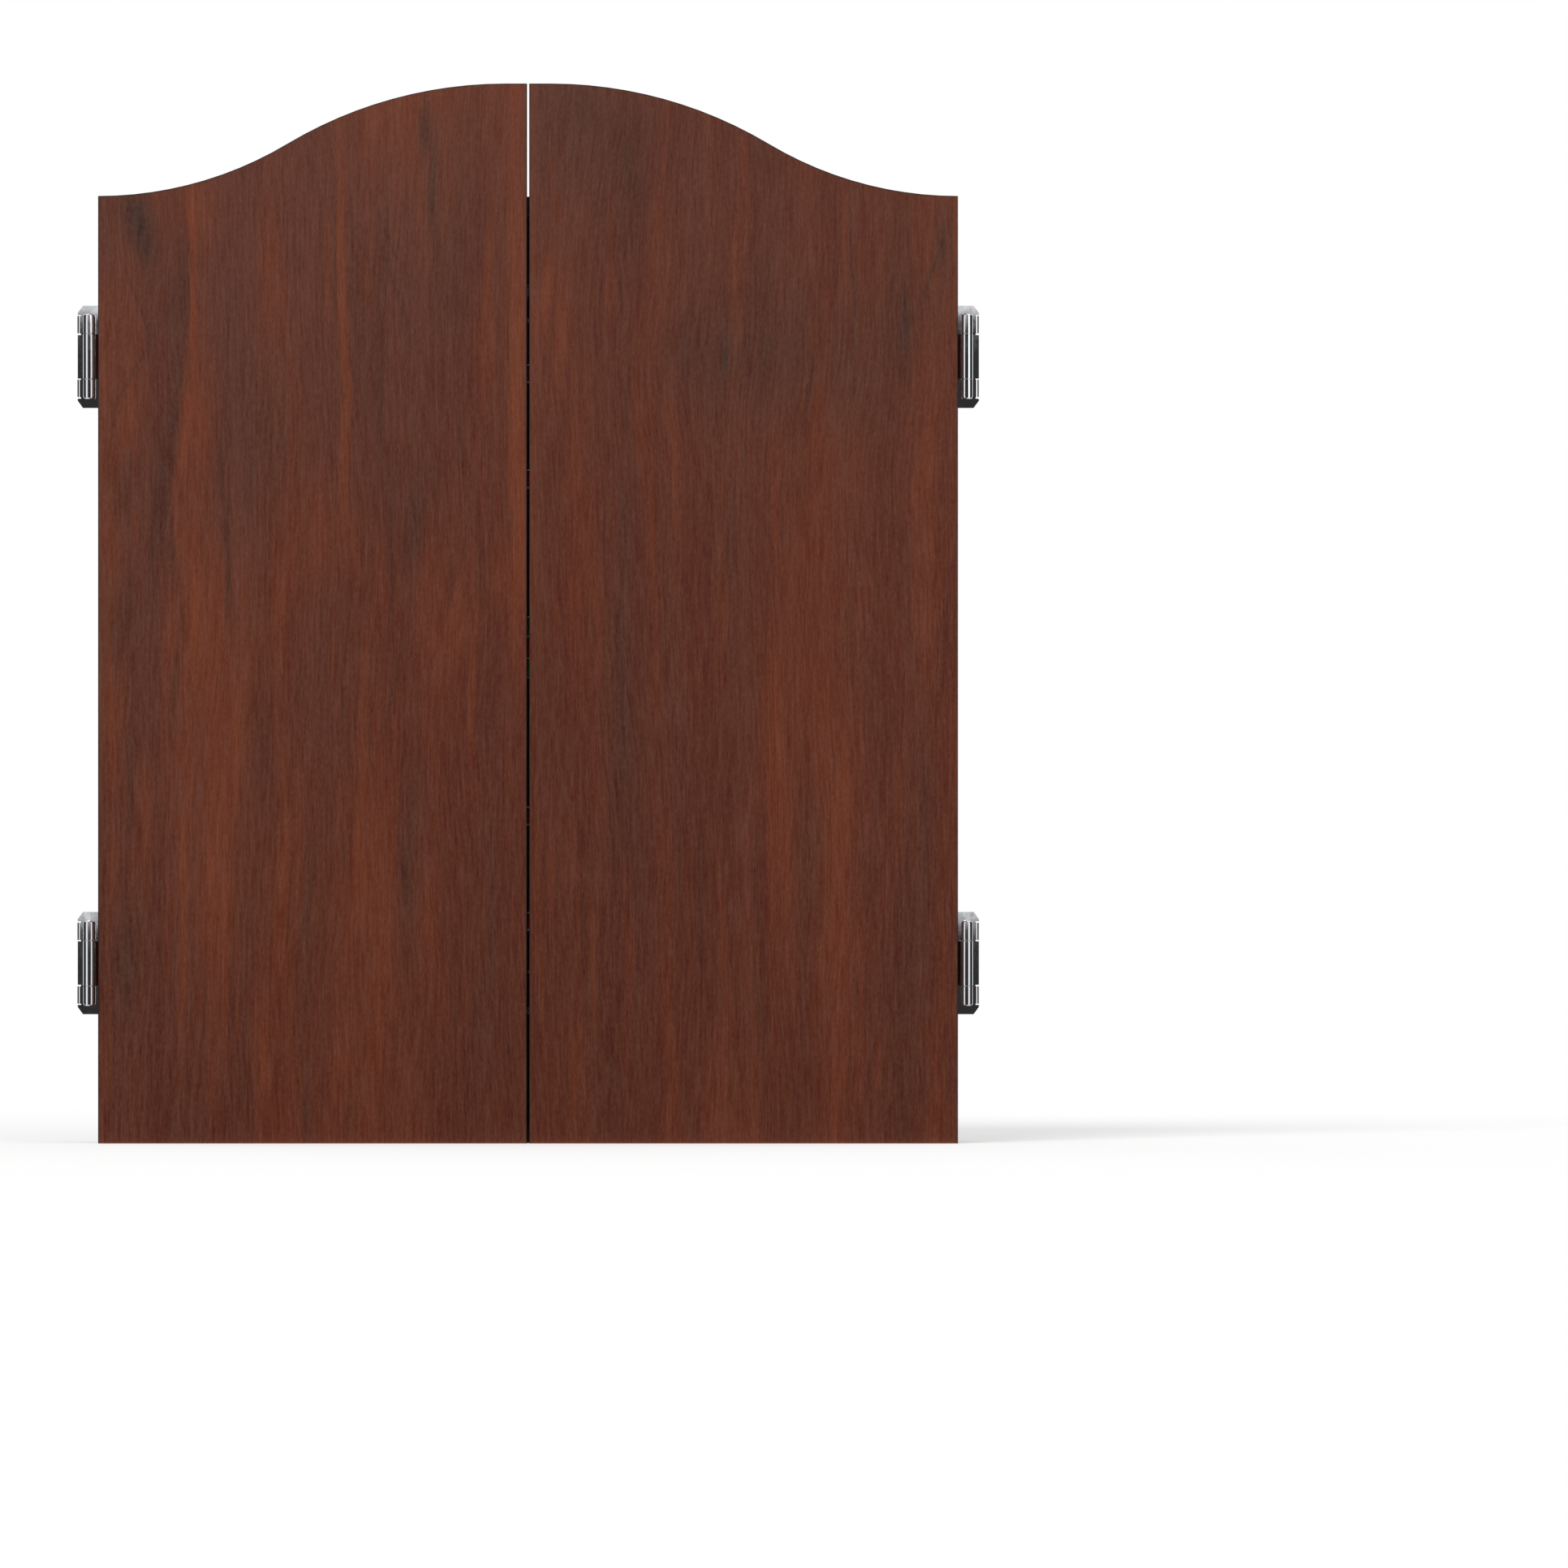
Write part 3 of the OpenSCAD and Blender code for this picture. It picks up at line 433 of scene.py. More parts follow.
def chipboard():
    """Pressed flakes, each with its own tone and lie."""
    g = Graph("chipboard", Specular_IOR_Level=0.3)
    sway = g.even_noise(90, 2.0)
    flake = g.cells(g.x * 330 + sway * 2, g.y * 330, g.z * 170 + sway)
    dust = g.even_noise(2400, 2.0)
    colour = g.blend(flake, tone(150, 116, 74), tone(206, 172, 122))
    colour = g.shade(colour, g.ramp(dust, 0.3, 0.7, 0.86, 1.08))
    g.set(Base_Color=colour, Roughness=0.82)
    g.bump(flake * 0.6 + dust * 0.4, 0.00015)
    return g.material


# ---------------------------------------------------------------- metal
def metal(name, colour, smooth, dull, scratch=(900, 900, 60), waves=0.0, dirt=0.12):
    """Bare or plated metal, from smooth to dull, with drawn scratches."""
    g = Graph(name, Metallic=1.0)
    lines = g.noise(g.x * scratch[0], g.y * scratch[1], g.z * scratch[2], 4.0, 0.7)
    cloud = g.even_noise(220, 3.0)
    wear = lines * 0.6 + cloud * 0.4
    g.set(Base_Color=g.shade(colour, g.ramp(wear, 0.3, 0.75, 1.0, 1.0 - dirt)))
    g.set(Roughness=g.ramp(wear, 0.3, 0.7, smooth, dull))
    g.bump(lines * 0.3 + g.even_noise(70, 1.0) * waves, 0.00004)
    return g.material


def zinc_sheet():
    """Galvanised sheet, with the flat crystals that zinc sets in."""
    g = Graph("zinc sheet", Metallic=1.0)
    sway = g.even_noise(300, 2.0)
    face = g.cells(g.x * 210 + sway, g.y * 210, g.z * 210 + sway)
    grit = g.even_noise(1800, 2.0)
    colour = g.blend(face, tone(176, 180, 184), tone(214, 217, 220))
    g.set(Base_Color=colour)
    g.set(Roughness=g.ramp(face * 0.7 + grit * 0.3, 0.1, 0.9, 0.26, 0.46))
    g.bump(grit, 0.00002)
    return g.material


# ---------------------------------------------------------------- coats and plastics
def coat(name, colour, pale, smooth, dull, grain=1400, depth=0.00004, gloss=0.5):
    """Paint, plastic or rubber: a fine skin over slow changes of tone."""
    g = Graph(name, Specular_IOR_Level=gloss)
    skin = g.even_noise(grain, 3.0, 0.6)
    cloud = g.even_noise(grain / 40, 3.0)
    mix = skin * 0.45 + cloud * 0.55
    g.set(Base_Color=g.blend(g.ramp(mix, 0.35, 0.66), colour, pale))
    g.set(Roughness=g.ramp(mix, 0.3, 0.7, smooth, dull))
    g.bump(skin, depth)
    return g.material


def slate():
    """A black writing face, with the ghosts of wiped chalk."""
    g = Graph("slate face", Specular_IOR_Level=0.3)
    wipe = g.noise(g.x * 7 + g.z * 5, g.y * 7, g.z * 20 - g.x * 6, 4.0, 0.6, 0.6)
    trace = g.noise(g.x * 90 + g.z * 40, g.y, g.z * 700 - g.x * 260, 3.0, 0.65)
    grit = g.even_noise(2600, 2.0)
    dust = g.ramp(wipe, 0.5, 0.78) * g.ramp(trace, 0.42, 0.7)
    colour = g.blend(dust * 0.55, tone(35, 37, 37), tone(128, 130, 128))
    colour = g.shade(colour, g.ramp(grit, 0.3, 0.7, 0.88, 1.1))
    g.set(Base_Color=colour, Roughness=g.ramp(wipe, 0.3, 0.7, 0.66, 0.86))
    g.bump(grit, 0.00004)
    return g.material


def mark_paint():
    """Screen-printed white lines, thin where they have been rubbed."""
    g = Graph("mark paint", Specular_IOR_Level=0.35)
    rub = g.even_noise(60, 4.0, 0.65)
    grit = g.even_noise(2200, 2.0)
    thin = g.ramp(rub * 0.6 + grit * 0.4, 0.46, 0.66)
    g.set(Base_Color=g.blend(thin * 0.5, tone(222, 222, 216), tone(120, 121, 118)))
    g.set(Roughness=g.ramp(grit, 0.3, 0.7, 0.6, 0.8))
    g.bump(grit, 0.00003)
    return g.material


# ---------------------------------------------------------------- the board's face
BLACK = tone(16, 16, 17)
CREAM = tone(255, 242, 218)
GREEN = tone(0, 216, 54)
RED = tone(254, 54, 22)
STAPLE_REACH = 2.3
STAPLE_RADII = ((TREBLE_IN + TREBLE_OUT) / 2, (DOUBLE_IN + DOUBLE_OUT) / 2)


def loose_fibres(g, scale, seed):
    """1 on thin curled fibres that lie here and there across the face."""
    curl = g.noise(g.x * scale, seed, g.z * scale, 2.0, 0.5, 0.7)
    some = g.noise(g.x * scale * 0.9, seed + 5.0, g.z * scale * 0.9, 1.0)
    line = g.ramp(g.math("ABSOLUTE", curl - 0.5), 0.010, 0.002)
    return line * g.ramp(some, 0.56, 0.63)


def sisal():
    """Pressed fibre ends dyed in the board's pattern, with loose fibres across it."""
    g = Graph("dyed sisal", Specular_IOR_Level=0.06)
    x, z = g.x / MM, g.z / MM
    r = g.math("SQRT", x * x + z * z)
    turn = g.math("ARCTAN2", x, z) / STEP + 0.5 + SEGMENTS
    odd = g.math("MODULO", g.math("FLOOR", turn), 2.0)
    r_soft = r + (g.even_noise(900, 2.0) - 0.5) * 0.5

    def within(low, high):
        return (r_soft > low) * (r_soft < high)

    single = within(OUTER_BULL, TREBLE_IN) + within(TREBLE_OUT, DOUBLE_IN)
    band = within(TREBLE_IN, TREBLE_OUT) + within(DOUBLE_IN, DOUBLE_OUT)
    band = band + (r < OUTER_BULL)
    pale = single * odd
    colour = g.blend(pale, BLACK, CREAM)
    colour = g.blend(band, colour, g.blend(odd, RED, GREEN))
    colour = g.blend(r < OUTER_BULL, colour, GREEN)
    colour = g.blend(r < BULL, colour, RED)

    # fibre ends, uneven dye, and the loose fibres
    ends = g.even_noise(1500, 3.0, 0.6)
    blotch = g.even_noise(330, 4.0, 0.65)
    cloud = g.even_noise(48, 4.0, 0.65)
    dim = (1.0 - pale) * (1.0 - band)
    colour = g.blend(g.ramp(cloud, 0.48, 0.66) * dim * 0.8, colour, tone(30, 30, 31))
    colour = g.blend(g.ramp(cloud, 0.52, 0.34) * pale * 0.4, colour, tone(250, 234, 200))
    colour = g.shade(colour, g.ramp(ends, 0.25, 0.75, 0.93, 1.04))
    colour = g.shade(colour, g.ramp(blotch, 0.36, 0.60, 0.94, 1.02))
    stray = loose_fibres(g, 60, 1.0)
    stray = g.math("MAXIMUM", stray, loose_fibres(g, 150, 2.0))
    stray = g.math("MAXIMUM", stray, loose_fibres(g, 260, 3.0))
    colour = g.blend(stray * pale * 0.42, colour, tone(150, 118, 74))
    colour = g.blend(stray * dim * 0.40, colour, tone(74, 74, 77))

    # the pits that the staples' legs press in the face, darkened with painted shade
    spoke = g.math("FRACT", turn)
    spoke = g.math("MINIMUM", spoke, 1.0 - spoke)
    aside = g.math("ABSOLUTE", r * g.math("SINE", spoke * STEP) - STAPLE_REACH)
    pit_and_shade = 9.0
    for radius in STAPLE_RADII:
        off = g.math("ABSOLUTE", r - radius)
        pit_and_shade = g.math("MINIMUM", pit_and_shade, g.math("SQRT", aside * aside + off * off))
    pit_and_shade = g.ramp(pit_and_shade, 1.5, 0.5)
    front = g.y < SISAL_FACE + 0.2 * MM
    # painted shade in the staples' pits
    colour = g.blend(pit_and_shade * front * 0.75, colour, tone(16, 12, 10))
    g.set(Base_Color=colour, Roughness=g.ramp(ends, 0.3, 0.7, 0.8, 0.95))
    g.bump(ends * 0.6 + stray * 0.4 - pit_and_shade * 3.0, 0.0002)
    return g.material


# ---------------------------------------------------------------- finishing the nodes
finishes = {
    "rosewood_laminate": laminate("laminate upright"),
    "back_board": back_board(),
    "dowel_wood": dowel_wood(),
    "bright_steel": metal("bright steel", tone(205, 205, 207), 0.22, 0.38),
    "plated_sheet": zinc_sheet(),
    "catch_plastic": coat(
        "brown plastic", tone(74, 50, 38), tone(86, 59, 45), 0.42, 0.55
    ),
    "magnet": coat("ferrite", tone(44, 44, 46), tone(66, 65, 66), 0.6, 0.8, 2600),
    "hinge_chrome": metal(
        "chrome", tone(222, 223, 226), 0.03, 0.08, (160, 160, 40), 0.25, 0.06
    ),
    "slate_laminate": slate(),
    "rack_wood": laminate("laminate rack", "x"),
    "sisal": sisal(),
    "rim_band": coat("rim enamel", tone(15, 15, 16), tone(24, 24, 25), 0.38, 0.52, 900),
    "backing_chipboard": chipboard(),
    "spider_wire": metal(
        "spider wire", tone(214, 213, 210), 0.22, 0.36, (420, 420, 420), 0.2, 0.15
    ),
    "number_wire": coat(
        "white wire", tone(236, 236, 234), tone(250, 250, 249), 0.3, 0.45, 1100
    ),
    "clip_black": coat("clip enamel", tone(30, 30, 31), tone(42, 42, 43), 0.3, 0.5, 800),
    "rivet_steel": metal("rivet steel", tone(198, 198, 200), 0.25, 0.42),
    "bumper_rubber": coat(
        "rubber", tone(20, 20, 21), tone(34, 34, 35), 0.7, 0.88, 2200, 0.00008, 0.3
    ),
    "mark_paint": mark_paint(),
}
door_finish = laminate("laminate door", "z", True)
level_finish = laminate("laminate level", "x")

for name, node in nodes.items():
    finish = finishes[node.material_slots[0].material.name.split(".")[0]]
    if name.startswith("door_panel"):
        finish = door_finish
    elif name in ("top_panel", "bottom_panel"):
        finish = level_finish
    for slot in node.material_slots:
        slot.material = finish


# ---------------------------------------------------------------- making pieces
DOME = (0.35, 0.7, 0.93)


def sweep(points, radius, closed=False, sides=12):
    """Vertices and faces of a round wire along points, with domed ends."""
    points = [Vector(p) for p in points]
    count = len(points)
    tangents = []
    for i in range(count):
        if closed:
            step = points[(i + 1) % count] - points[i - 1]
        else:
            step = points[min(i + 1, count - 1)] - points[max(i - 1, 0)]
        tangents.append(step.normalized())
    normal = tangents[0].orthogonal().normalized()
    rings = []
    for point, tangent in zip(points, tangents):
        normal = (normal - tangent * normal.dot(tangent)).normalized()
        rings.append((point, tangent, normal, radius))
    if not closed:
        for end, way in ((0, -1), (-1, 1)):
            point, tangent, normal, _ = rings[end]
            caps = [
                (point + tangent * way * radius * s, tangent, normal, radius * c)
                for s, c in ((d, math.sqrt(1 - d * d)) for d in DOME)
            ]
            rings = caps[::-1] + rings if way < 0 else rings + caps
    vertices = []
    for point, tangent, normal, size in rings:
        side = tangent.cross(normal)
        for k in range(sides):
            a = 2 * math.pi * k / sides
            vertices.append(point + (normal * math.cos(a) + side * math.sin(a)) * size)
    faces = []
    last = len(rings) if closed else len(rings) - 1
    for i in range(last):
        j = (i + 1) % len(rings)
        for k in range(sides):
            m = (k + 1) % sides
            faces.append(
                (i * sides + k, i * sides + m, j * sides + m, j * sides + k)
            )
    if closed:
        return vertices, faces
    tips = ((rings[0], -1, 0), (rings[-1], 1, len(rings) - 1))
    for (point, tangent, _, _), way, i in tips:
        tip = len(vertices)
        vertices.append(point + tangent * way * (radius - DOME[-1] * radius))
        for k in range(sides):
            m = (k + 1) % sides
            pair = (i * sides + k, i * sides + m)
            faces.append((tip, *(pair[::-1] if way < 0 else pair)))
    return vertices, faces


def piece(name, parts, slot, body, smooth=True):
    """One object from (vertices, faces) parts, finished from a slot, riding a body."""
    vertices, faces = [], []
    for part_vertices, part_faces in parts:
        base = len(vertices)
        vertices.extend(part_vertices)
        faces.extend(tuple(base + i for i in face) for face in part_faces)
    mesh = bpy.data.meshes.new(name)
    mesh.from_pydata(vertices, [], faces)
    mesh.polygons.foreach_set("use_smooth", [smooth] * len(mesh.polygons))
    mesh.materials.append(finishes[slot])
    mesh.validate()
    mesh.update()
    thing = bpy.data.objects.new(name, mesh)
    bpy.context.scene.collection.objects.link(thing)
    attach(thing, body)
    return thing


def around(a, r, t, y):
    """Where radius r at angle a leads, then t to its right, in millimetres."""
    x = r * math.sin(a) + t * math.cos(a)
    z = r * math.cos(a) - t * math.sin(a)
    return Vector((x, y, z)) * MM


def through(points, closed=False, steps=7):
    """A smooth curve through points, as Catmull and Rom draw it."""
    count = len(points)
    out = []
    for i in range(count if closed else count - 1):
        if closed:
            p = [points[(i + k) % count] for k in (-1, 0, 1, 2)]
        else:
            p = [points[min(max(i + k, 0), count - 1)] for k in (-1, 0, 1, 2)]
        for step in range(steps):
            t = step / steps
            out.append(
                tuple(
                    0.5
                    * (
                        2 * b
                        + (c - a) * t
                        + (2 * a - 5 * b + 4 * c - d) * t * t
                        + (3 * b - a - 3 * c + d) * t * t * t
                    )
                    for a, b, c, d in zip(*p)
                )
            )
    if not closed:
        out.append(tuple(points[-1]))
    return out


# ---------------------------------------------------------------- the wire numbers
# each digit as one bent wire, in millimetres: x right, y up from its foot
DIGITS = {
    "1": ((-7.5, 20.5), (-5, 23), (-2.5, 24.6), (-0.4, 22.5), (0, 18.5), (0, 0)),
    "1low": ((-8.5, 5.8), (-5.5, 2.2), (-2, 0.2), (0, 3.5), (0, 25.5)),
    "2": (
        (-2.2, 19.5), (0.5, 22.6), (4.3, 24.2), (8.2, 21.6), (9, 17.6), (6.8, 13.5),
        (2.8, 9), (0.1, 5), (0, 1.6), (1.6, 0), (3.8, 1), (7.3, 2.8), (9.8, 1.5),
        (12.1, -0.5),
    ),
    "3": (
        (-5.3, 18.3), (-3.5, 22.8), (0, 25.3), (5.2, 22), (6, 18.3), (3.5, 13.3),
        (4.5, 9.8), (6.7, 5.8), (3.5, 0.8), (0, 0), (-4, 2.8), (-5.3, 6.3),
    ),
    "4": (
        (0, 7), (-10, 7.4), (-12, 9.8), (-5.5, 22.8), (-3, 25.3), (-0.8, 23.1),
        (-0.3, 17.3), (0, 0),
    ),
    "5": (
        (6, 28.3), (3.7, 25), (-3, 25.5), (-5.7, 23.5), (-6, 20), (-2.5, 14.3),
        (3, 11.5), (6, 7), (5.5, 2), (1, 0), (-2.5, 0.8), (-5.5, 2.8),
    ),
    "6": (
        (5, 19), (4.3, 23), (0.5, 25), (-4.5, 22), (-6.2, 14), (-6, 6), (-3.5, 1.5),
        (0.5, 0), (5.5, 3), (6.2, 7.5), (3.5, 11), (-2.5, 12.5), (-4.8, 13),
    ),
    "7": (
        (-6.5, 20.5), (3, 24), (5.8, 22.3), (4, 12), (1.8, 2.5), (-0.5, 0),
        (-6.5, 5.2),
    ),
    "8": (
        (0, 24.8), (-4.6, 20), (-3.3, 16.5), (0, 12.5), (4, 8.5), (5.3, 5), (0, 0),
        (-5.2, 5), (-4, 8.5), (0, 12.5), (3.5, 16.5), (5, 20),
    ),
    "0": (
        (0, 23.8), (-4.6, 21.6), (-6.2, 16.5), (-6.2, 7.3), (-4.6, 2.2), (0, 0),
        (4.6, 2.2), (6.2, 7.3), (6.2, 16.5), (4.6, 21.6),
    ),
}
DIGITS["9"] = tuple((-x, 25 - y) for x, y in DIGITS["6"])

# number, then where each digit's x = 0 falls, in millimetres right of its middle
ROUND = (
    (20, -9.8, 9.7), (1, 4.5), (18, -3.2, 6.2), (4, 7.0), (13, -3.0, 5.5), (6, 1.0),
    (10, -5.5, 4.5), (15, -5.0, 4.0), (2, -4.5), (17, -7.0, 6.5), (3, -2.0),
    (19, -5.5, 4.5), (7, -0.5), (16, -6.2, 5.0), (8, -1.5), (11, -9.0, 10.0),
    (14, -3.0, 12.3), (9, 1.5), (12, -2.5, 1.0), (5, 1.5),
)
NUMBER_WIRE = 1.2

# the radius that the digits' feet stand on; in the lower half they hang upside down
# from the ring, so that all read upright
FOOT_UPPER = 196.6
FOOT_LOWER = 220.9
LOWER = (10, 15, 2, 17, 3, 19, 7, 16, 8)

# how far the 8's second stroke passes over its first, how high up, and over what length
EIGHT_OVER, EIGHT_CROSSING, EIGHT_LENGTH = 1.9, 12.5, 2.6


def wire_numbers():
    """The numbers round the board, each riding with it as its own piece."""
    middle = RING_FRONT / MM - NUMBER_WIRE
    for place, (number, *origins) in enumerate(ROUND):
        a = place * STEP
        low = number in LOWER
        parts = []
        for digit, origin in zip(str(number), origins):
            shape = DIGITS["1low" if digit == "1" and low else digit]
            closed = digit in "08"
            curve = through(shape, closed)
            wire = []
            for i, (gx, gy) in enumerate(curve):
                over = 0.0
                if digit == "8" and i > len(curve) / 2:
                    away = (gy - EIGHT_CROSSING) / EIGHT_LENGTH
                    over = -EIGHT_OVER * math.exp(-(away**2))
                r = FOOT_LOWER - gy if low else FOOT_UPPER + gy
                t = -(gx + origin) if low else gx + origin
                wire.append(around(a, r, t, middle + over))
            parts.append(sweep(wire, NUMBER_WIRE * MM, closed))
        piece(f"number_{number}", parts, "number_wire", "dartboard")


# ---------------------------------------------------------------- the spider's staples
def staples():
    """A staple over every spoke, in the middle of both scoring bands."""
    thick = 0.5
    sunk = 1.5
    front = SPOKE_FRONT / MM - thick
    back = SISAL_FACE / MM + sunk
    shape = (
        (-STAPLE_REACH, back), (-STAPLE_REACH, front + 1.4),
        (-STAPLE_REACH + 0.2, front + 0.5), (-STAPLE_REACH + 0.8, front),
        (0, front), (STAPLE_REACH - 0.8, front), (STAPLE_REACH - 0.2, front + 0.5),
        (STAPLE_REACH, front + 1.4), (STAPLE_REACH, back),
    )
    curve = through(shape, steps=3)
    parts = []
    for place in range(SEGMENTS):
        a = (place + 0.5) * STEP
        for r in STAPLE_RADII:
            wire = [around(a, r, t, y) for t, y in curve]
            parts.append(sweep(wire, thick * MM, sides=10))
    piece("spider_staples", parts, "spider_wire", "dartboard")


# ---------------------------------------------------------------- scoreboard marks
PAINT = 0.12 * MM
HIGHEST, LISTED = 20, 6  # the left board lists this many numbers down from the highest


def bar(x0, x1, z0, z1, y):
    """A thin painted bar on a scoreboard's face, which looks to +Y."""
    vertices = [
        (x, depth, z) for depth in (y, y + PAINT) for x in (x0, x1) for z in (z0, z1)
    ]
    faces = (
        (0, 1, 3, 2), (4, 6, 7, 5), (0, 4, 5, 1), (2, 3, 7, 6), (0, 2, 6, 4),
        (1, 5, 7, 3),
    )
    return vertices, faces


def ring(x, z, radius, width, y):
    """A flat painted ring."""
    sides = 48
    vertices, faces = [], []
    for k in range(sides):
        a = 2 * math.pi * k / sides
        for size in (radius - width / 2, radius + width / 2):
            for depth in (y, y + PAINT):
                vertices.append((x + size * math.cos(a), depth, z + size * math.sin(a)))
    for k in range(sides):
        here, then = 4 * k, 4 * ((k + 1) % sides)
        for a, b in ((0, 1), (1, 3), (3, 2), (2, 0)):
            faces.append((here + a, here + b, then + b, then + a))
    return vertices, faces


def painted_number(text, x, z, size, y):
    """A plain number that reads the right way round on a face looking to +Y."""
    curve = bpy.data.curves.new("digits", "FONT")
    curve.body = text
    curve.size = size
    curve.align_x = "CENTER"
    curve.align_y = "CENTER"
    curve.extrude = PAINT / 2
    curve.resolution_u = 6
    holder = bpy.data.objects.new("digits", curve)
    bpy.context.scene.collection.objects.link(holder)
    bpy.context.view_layer.update()
    mesh = bpy.data.meshes.new_from_object(
        holder.evaluated_get(bpy.context.evaluated_depsgraph_get())
    )
    turn = Matrix(((-1, 0, 0, x), (0, 0, 1, y + PAINT / 2), (0, 1, 0, z), (0, 0, 0, 1)))
    vertices = [turn @ v.co for v in mesh.vertices]
    faces = [tuple(p.vertices) for p in mesh.polygons]
    bpy.data.objects.remove(holder)
    bpy.data.meshes.remove(mesh)
    bpy.data.curves.remove(curve)
    return vertices, faces


def scoreboard_marks():
    """The left board lists the high numbers and the bull; the right has columns."""
    inset = 7 * MM
    line = 1.4 * MM
    head = 34 * MM
    lane = 46 * MM
    number_size = 34 * MM
    rings = (12 * MM, 4 * MM)
    ring_width = 2.2 * MM
    for side in ("left", "right"):
        low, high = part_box(f"scoreboard_{side}")
        y = high.y
        x0, x1, z0, z1 = low.x + inset, high.x - inset, low.z + inset, high.z - inset
        middle = (x0 + x1) / 2
        top = z1 - head
        parts = [
            bar(x0, x1, z0, z0 + line, y),
            bar(x0, x1, z1 - line, z1, y),
            bar(x0, x0 + line, z0 + line, z1 - line, y),
            bar(x1 - line, x1, z0 + line, z1 - line, y),
        ]
        if side == "left":
            rows = LISTED + 1
            drop = (top - z0 - line) / rows
            walls = (middle - lane / 2, middle + lane / 2)
            for x in walls:
                parts.append(
                    bar(x - line / 2, x + line / 2, z0 + line, z1 - line, y)
                )
            spans = (
                (x0 + line, walls[0] - line / 2),
                (walls[0] + line / 2, walls[1] - line / 2),
                (walls[1] + line / 2, x1 - line),
            )
            for row in range(rows):
                z = top - row * drop
                for a, b in spans:
                    parts.append(bar(a, b, z - line / 2, z + line / 2, y))
                centre = z - drop / 2
                if row < LISTED:
                    number = str(HIGHEST - row)
                    parts.append(painted_number(number, middle, centre, number_size, y))
                else:
                    for radius in rings:
                        parts.append(ring(middle, centre, radius, ring_width, y))
        else:
            parts.append(
                bar(middle - line / 2, middle + line / 2, z0 + line, z1 - line, y)
            )
            spans = (
                (x0 + line, middle - line / 2),
                (middle + line / 2, x1 - line),
            )
            for a, b in spans:
                parts.append(bar(a, b, top - line / 2, top + line / 2, y))
                third = (a + b) / 2
                parts.append(
                    bar(third - line / 4, third + line / 4, z0 + line, top - line / 2, y)
                )
        piece(f"score_marks_{side}", parts, "mark_paint", f"door_{side}", False)


wire_numbers()
staples()
scoreboard_marks()


# ---------------------------------------------------------------- stage and lights
def seen(tree):
    """1 for rays that see the background: camera, mirror and glass rays."""
    path = tree.nodes.new("ShaderNodeLightPath")
    total = path.outputs["Is Camera Ray"]
    for name in ("Is Glossy Ray", "Is Transmission Ray"):
        most = tree.nodes.new("ShaderNodeMath")
        most.operation = "MAXIMUM"
        tree.links.new(total, most.inputs[0])
        tree.links.new(path.outputs[name], most.inputs[1])
        total = most.outputs[0]
    return total


AMBIENT = 0.46  # what the world lights the part with; mirrors and the camera see white
FLOOR_GLOW = 0.39
FLOOR_REACH = 60.0
CARD_LEVEL = 0.035

# cards that darken the hinges' reflections: two before the part, with a bright slit
# between them, one on the floor, and one at each side
CARD_Y = -1.0
CARD_HALF = 0.62
CARD_SLIT = (-0.172, -0.16)
CARD_TOP = 0.224
FLOOR_CARD_HALF = 0.7
FLOOR_CARD_BACK = -0.1
SIDE_CARD_X = 0.9
SIDE_CARD_TOP = 1.0
SIDE_CARD_FRONT, SIDE_CARD_BACK = -0.5, 0.35

PICTURE_MIDDLE = (0.1548, -0.0826)  # x and z that the picture's middle looks at
PICTURE_WIDTH = 0.9482  # what the picture spans at the doors' front
CAMERA_REACH = 12.0
SENSOR = 36.0


def studio():
    """A plain dim world, which the camera, mirrors and glass see as white."""
    world = bpy.data.worlds.new("studio")
    world.use_nodes = True
    tree = world.node_tree
    tree.nodes.clear()
    white = tree.nodes.new("ShaderNodeBackground")
    soft = tree.nodes.new("ShaderNodeBackground")
    soft.inputs[0].default_value = (1.0, 1.0, 1.0, 1.0)
    soft.inputs[1].default_value = AMBIENT
    white.inputs[0].default_value = (1.0, 1.0, 1.0, 1.0)
    white.inputs[1].default_value = 1.0
    choose = tree.nodes.new("ShaderNodeMixShader")
    output = tree.nodes.new("ShaderNodeOutputWorld")
    tree.links.new(seen(tree), choose.inputs[0])
    tree.links.new(soft.outputs[0], choose.inputs[1])
    tree.links.new(white.outputs[0], choose.inputs[2])
    tree.links.new(choose.outputs[0], output.inputs[0])
    bpy.context.scene.world = world


def flat_piece(name, corners, material):
    """A flat sheet of the stage, which is no part of the object."""
    mesh = bpy.data.meshes.new(name)
    mesh.from_pydata(corners, [], [(0, 1, 2, 3)])
    mesh.materials.append(material)
    thing = bpy.data.objects.new(name, mesh)
    bpy.context.scene.collection.objects.link(thing)
    return thing


def floor():
    """Pale, with a glow that only the camera and mirrors see, so that shadows stay."""
    reach = FLOOR_REACH
    g = Graph("floor", Roughness=0.9, Specular_IOR_Level=0.0)
    g.set(Base_Color=tone(232, 232, 232), Emission_Color=(1.0, 1.0, 1.0, 1.0))
    g.set(Emission_Strength=Term(g, seen(g.tree)) * FLOOR_GLOW)
    corners = [(-reach, -reach), (reach, -reach), (reach, reach), (-reach, reach)]
    flat_piece("floor", [(x, y, FLOOR) for x, y in corners], g.material)


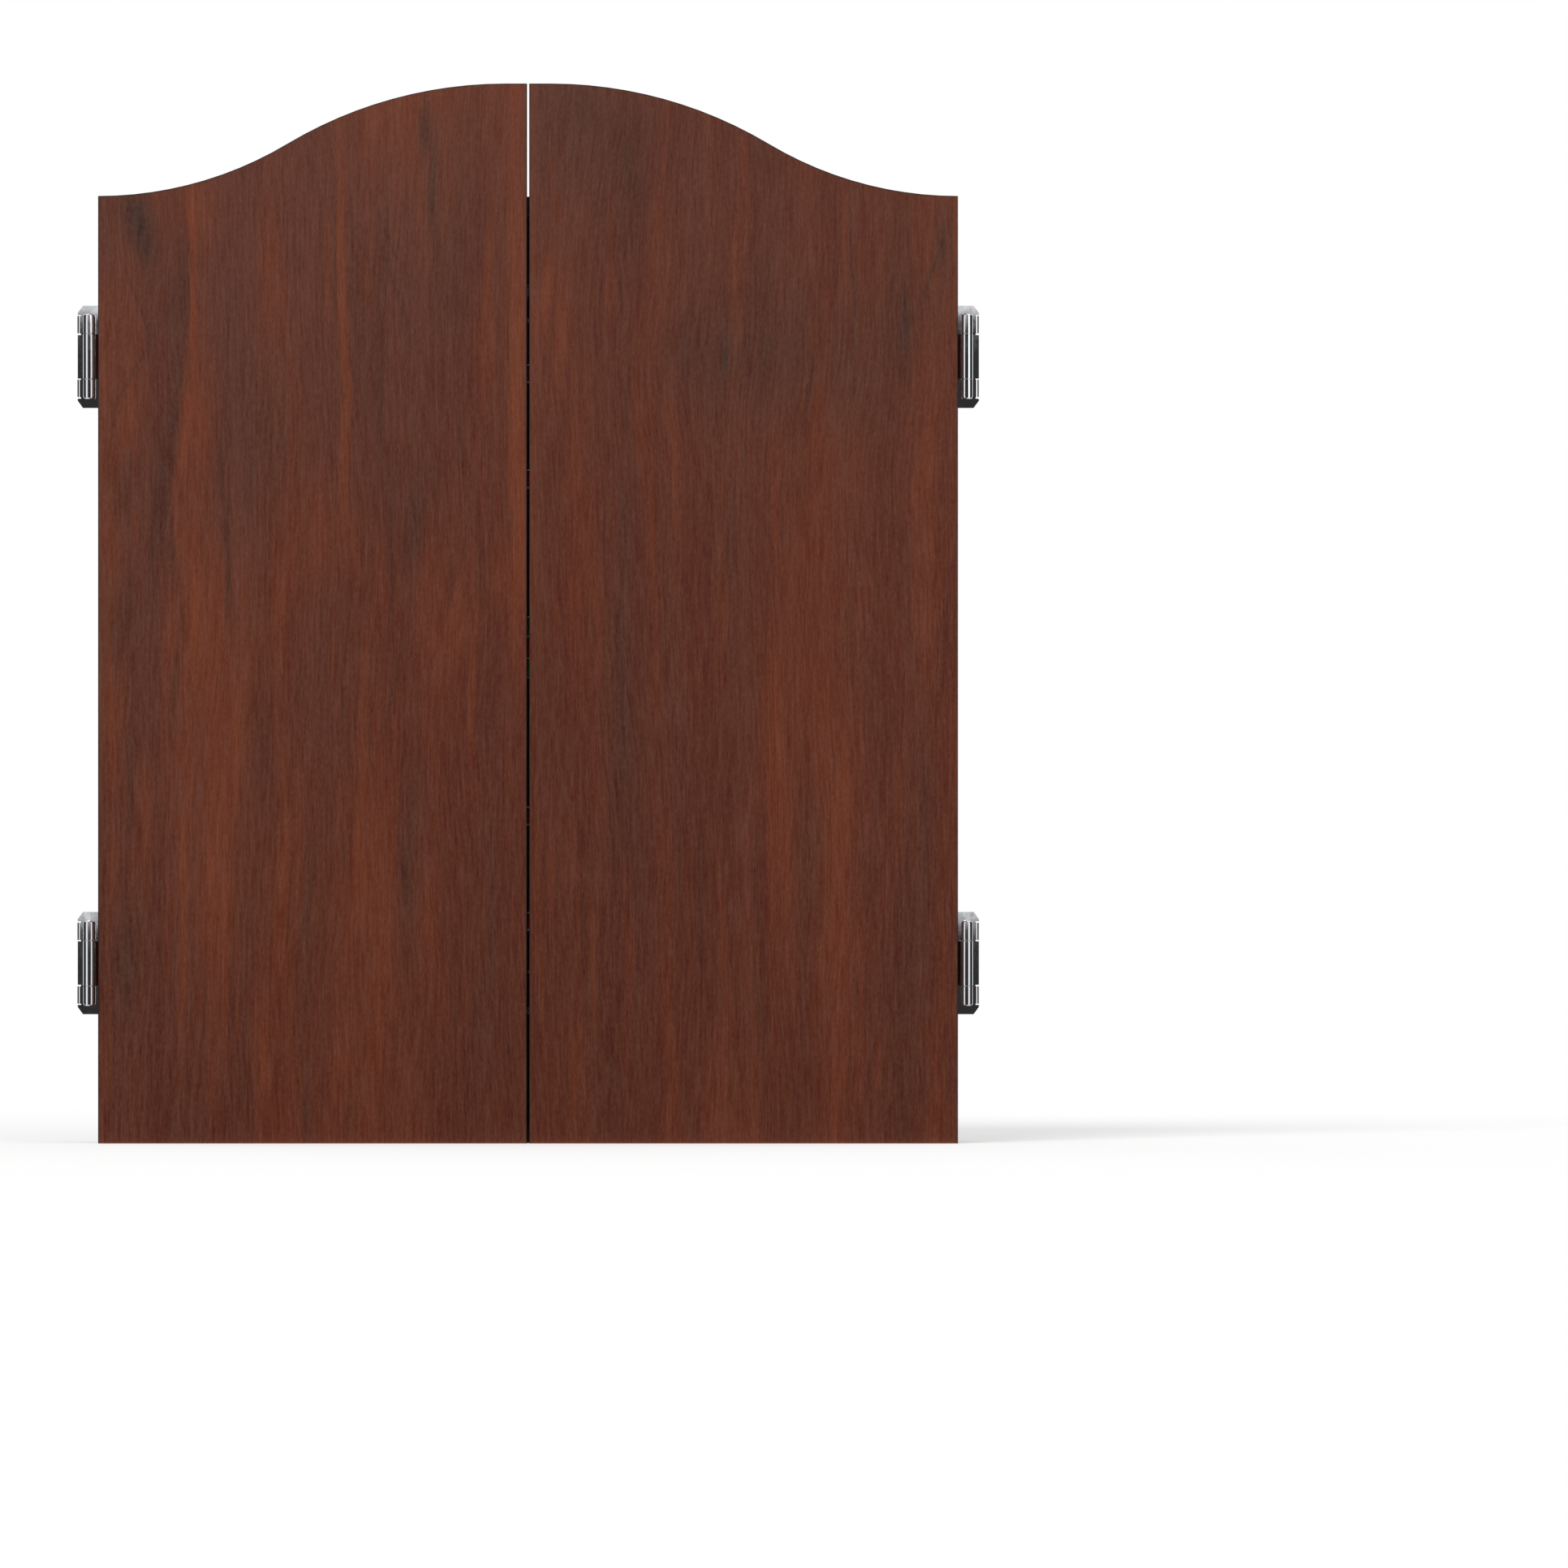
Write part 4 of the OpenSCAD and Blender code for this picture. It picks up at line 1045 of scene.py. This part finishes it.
def card(name, corners):
    """A dark grey card that only mirrors see."""
    g = Graph(name, Roughness=1.0, Specular_IOR_Level=0.0)
    g.set(Base_Color=(0.0, 0.0, 0.0, 1.0), Emission_Color=(1.0, 1.0, 1.0, 1.0))
    g.set(Emission_Strength=CARD_LEVEL)
    thing = flat_piece(name, corners, g.material)
    thing.visible_camera = False
    thing.visible_diffuse = False
    thing.visible_shadow = False
    thing.visible_transmission = False


def upright_card(name, start, end, low, high):
    """A card that stands between two points of the plan."""
    card(name, [(*start, low), (*end, low), (*end, high), (*start, high)])


def lying_card(name, left, right, front, back):
    """A card that lies on the floor."""
    level = FLOOR + 1 * MM
    plan = ((left, front), (right, front), (right, back), (left, back))
    card(name, [(x, y, level) for x, y in plan])


def cards():
    ends = (-CARD_HALF, CARD_Y), (CARD_HALF, CARD_Y)
    upright_card("card_low", *ends, FLOOR, CARD_SLIT[0])
    upright_card("card_high", *ends, CARD_SLIT[1], CARD_TOP)
    lying_card("card_floor", -FLOOR_CARD_HALF, FLOOR_CARD_HALF, CARD_Y, FLOOR_CARD_BACK)
    for side, x in (("left", -SIDE_CARD_X), ("right", SIDE_CARD_X)):
        ends = (x, SIDE_CARD_FRONT), (x, SIDE_CARD_BACK)
        upright_card(f"card_{side}", *ends, FLOOR, SIDE_CARD_TOP)


def lamp(name, place, strength, spread):
    """A broad soft lamp, far off in the direction of place."""
    data = bpy.data.lights.new(name, "SUN")
    data.energy = strength
    data.angle = math.radians(spread)
    thing = bpy.data.objects.new(name, data)
    thing.location = place
    thing.rotation_euler = (-Vector(place)).to_track_quat("-Z", "Y").to_euler()
    bpy.context.scene.collection.objects.link(thing)


def camera():
    """Square on and far off, with the cabinet left of the middle."""
    data = bpy.data.cameras.new("camera")
    data.sensor_width = SENSOR
    data.lens = SENSOR * CAMERA_REACH / PICTURE_WIDTH
    data.clip_end = 200.0
    thing = bpy.data.objects.new("camera", data)
    x, z = PICTURE_MIDDLE
    thing.location = (x, FRONT - CAMERA_REACH, z)
    thing.rotation_euler = (math.pi / 2, 0, 0)
    bpy.context.scene.collection.objects.link(thing)
    bpy.context.scene.camera = thing


studio()
floor()
cards()
lamp("key", (-1.0, -2.4, 2.2), 1.2, 25)
lamp("fill", (1.8, -2.2, 1.0), 0.5, 40)
camera()
bpy.context.scene.view_settings.view_transform = "Standard"
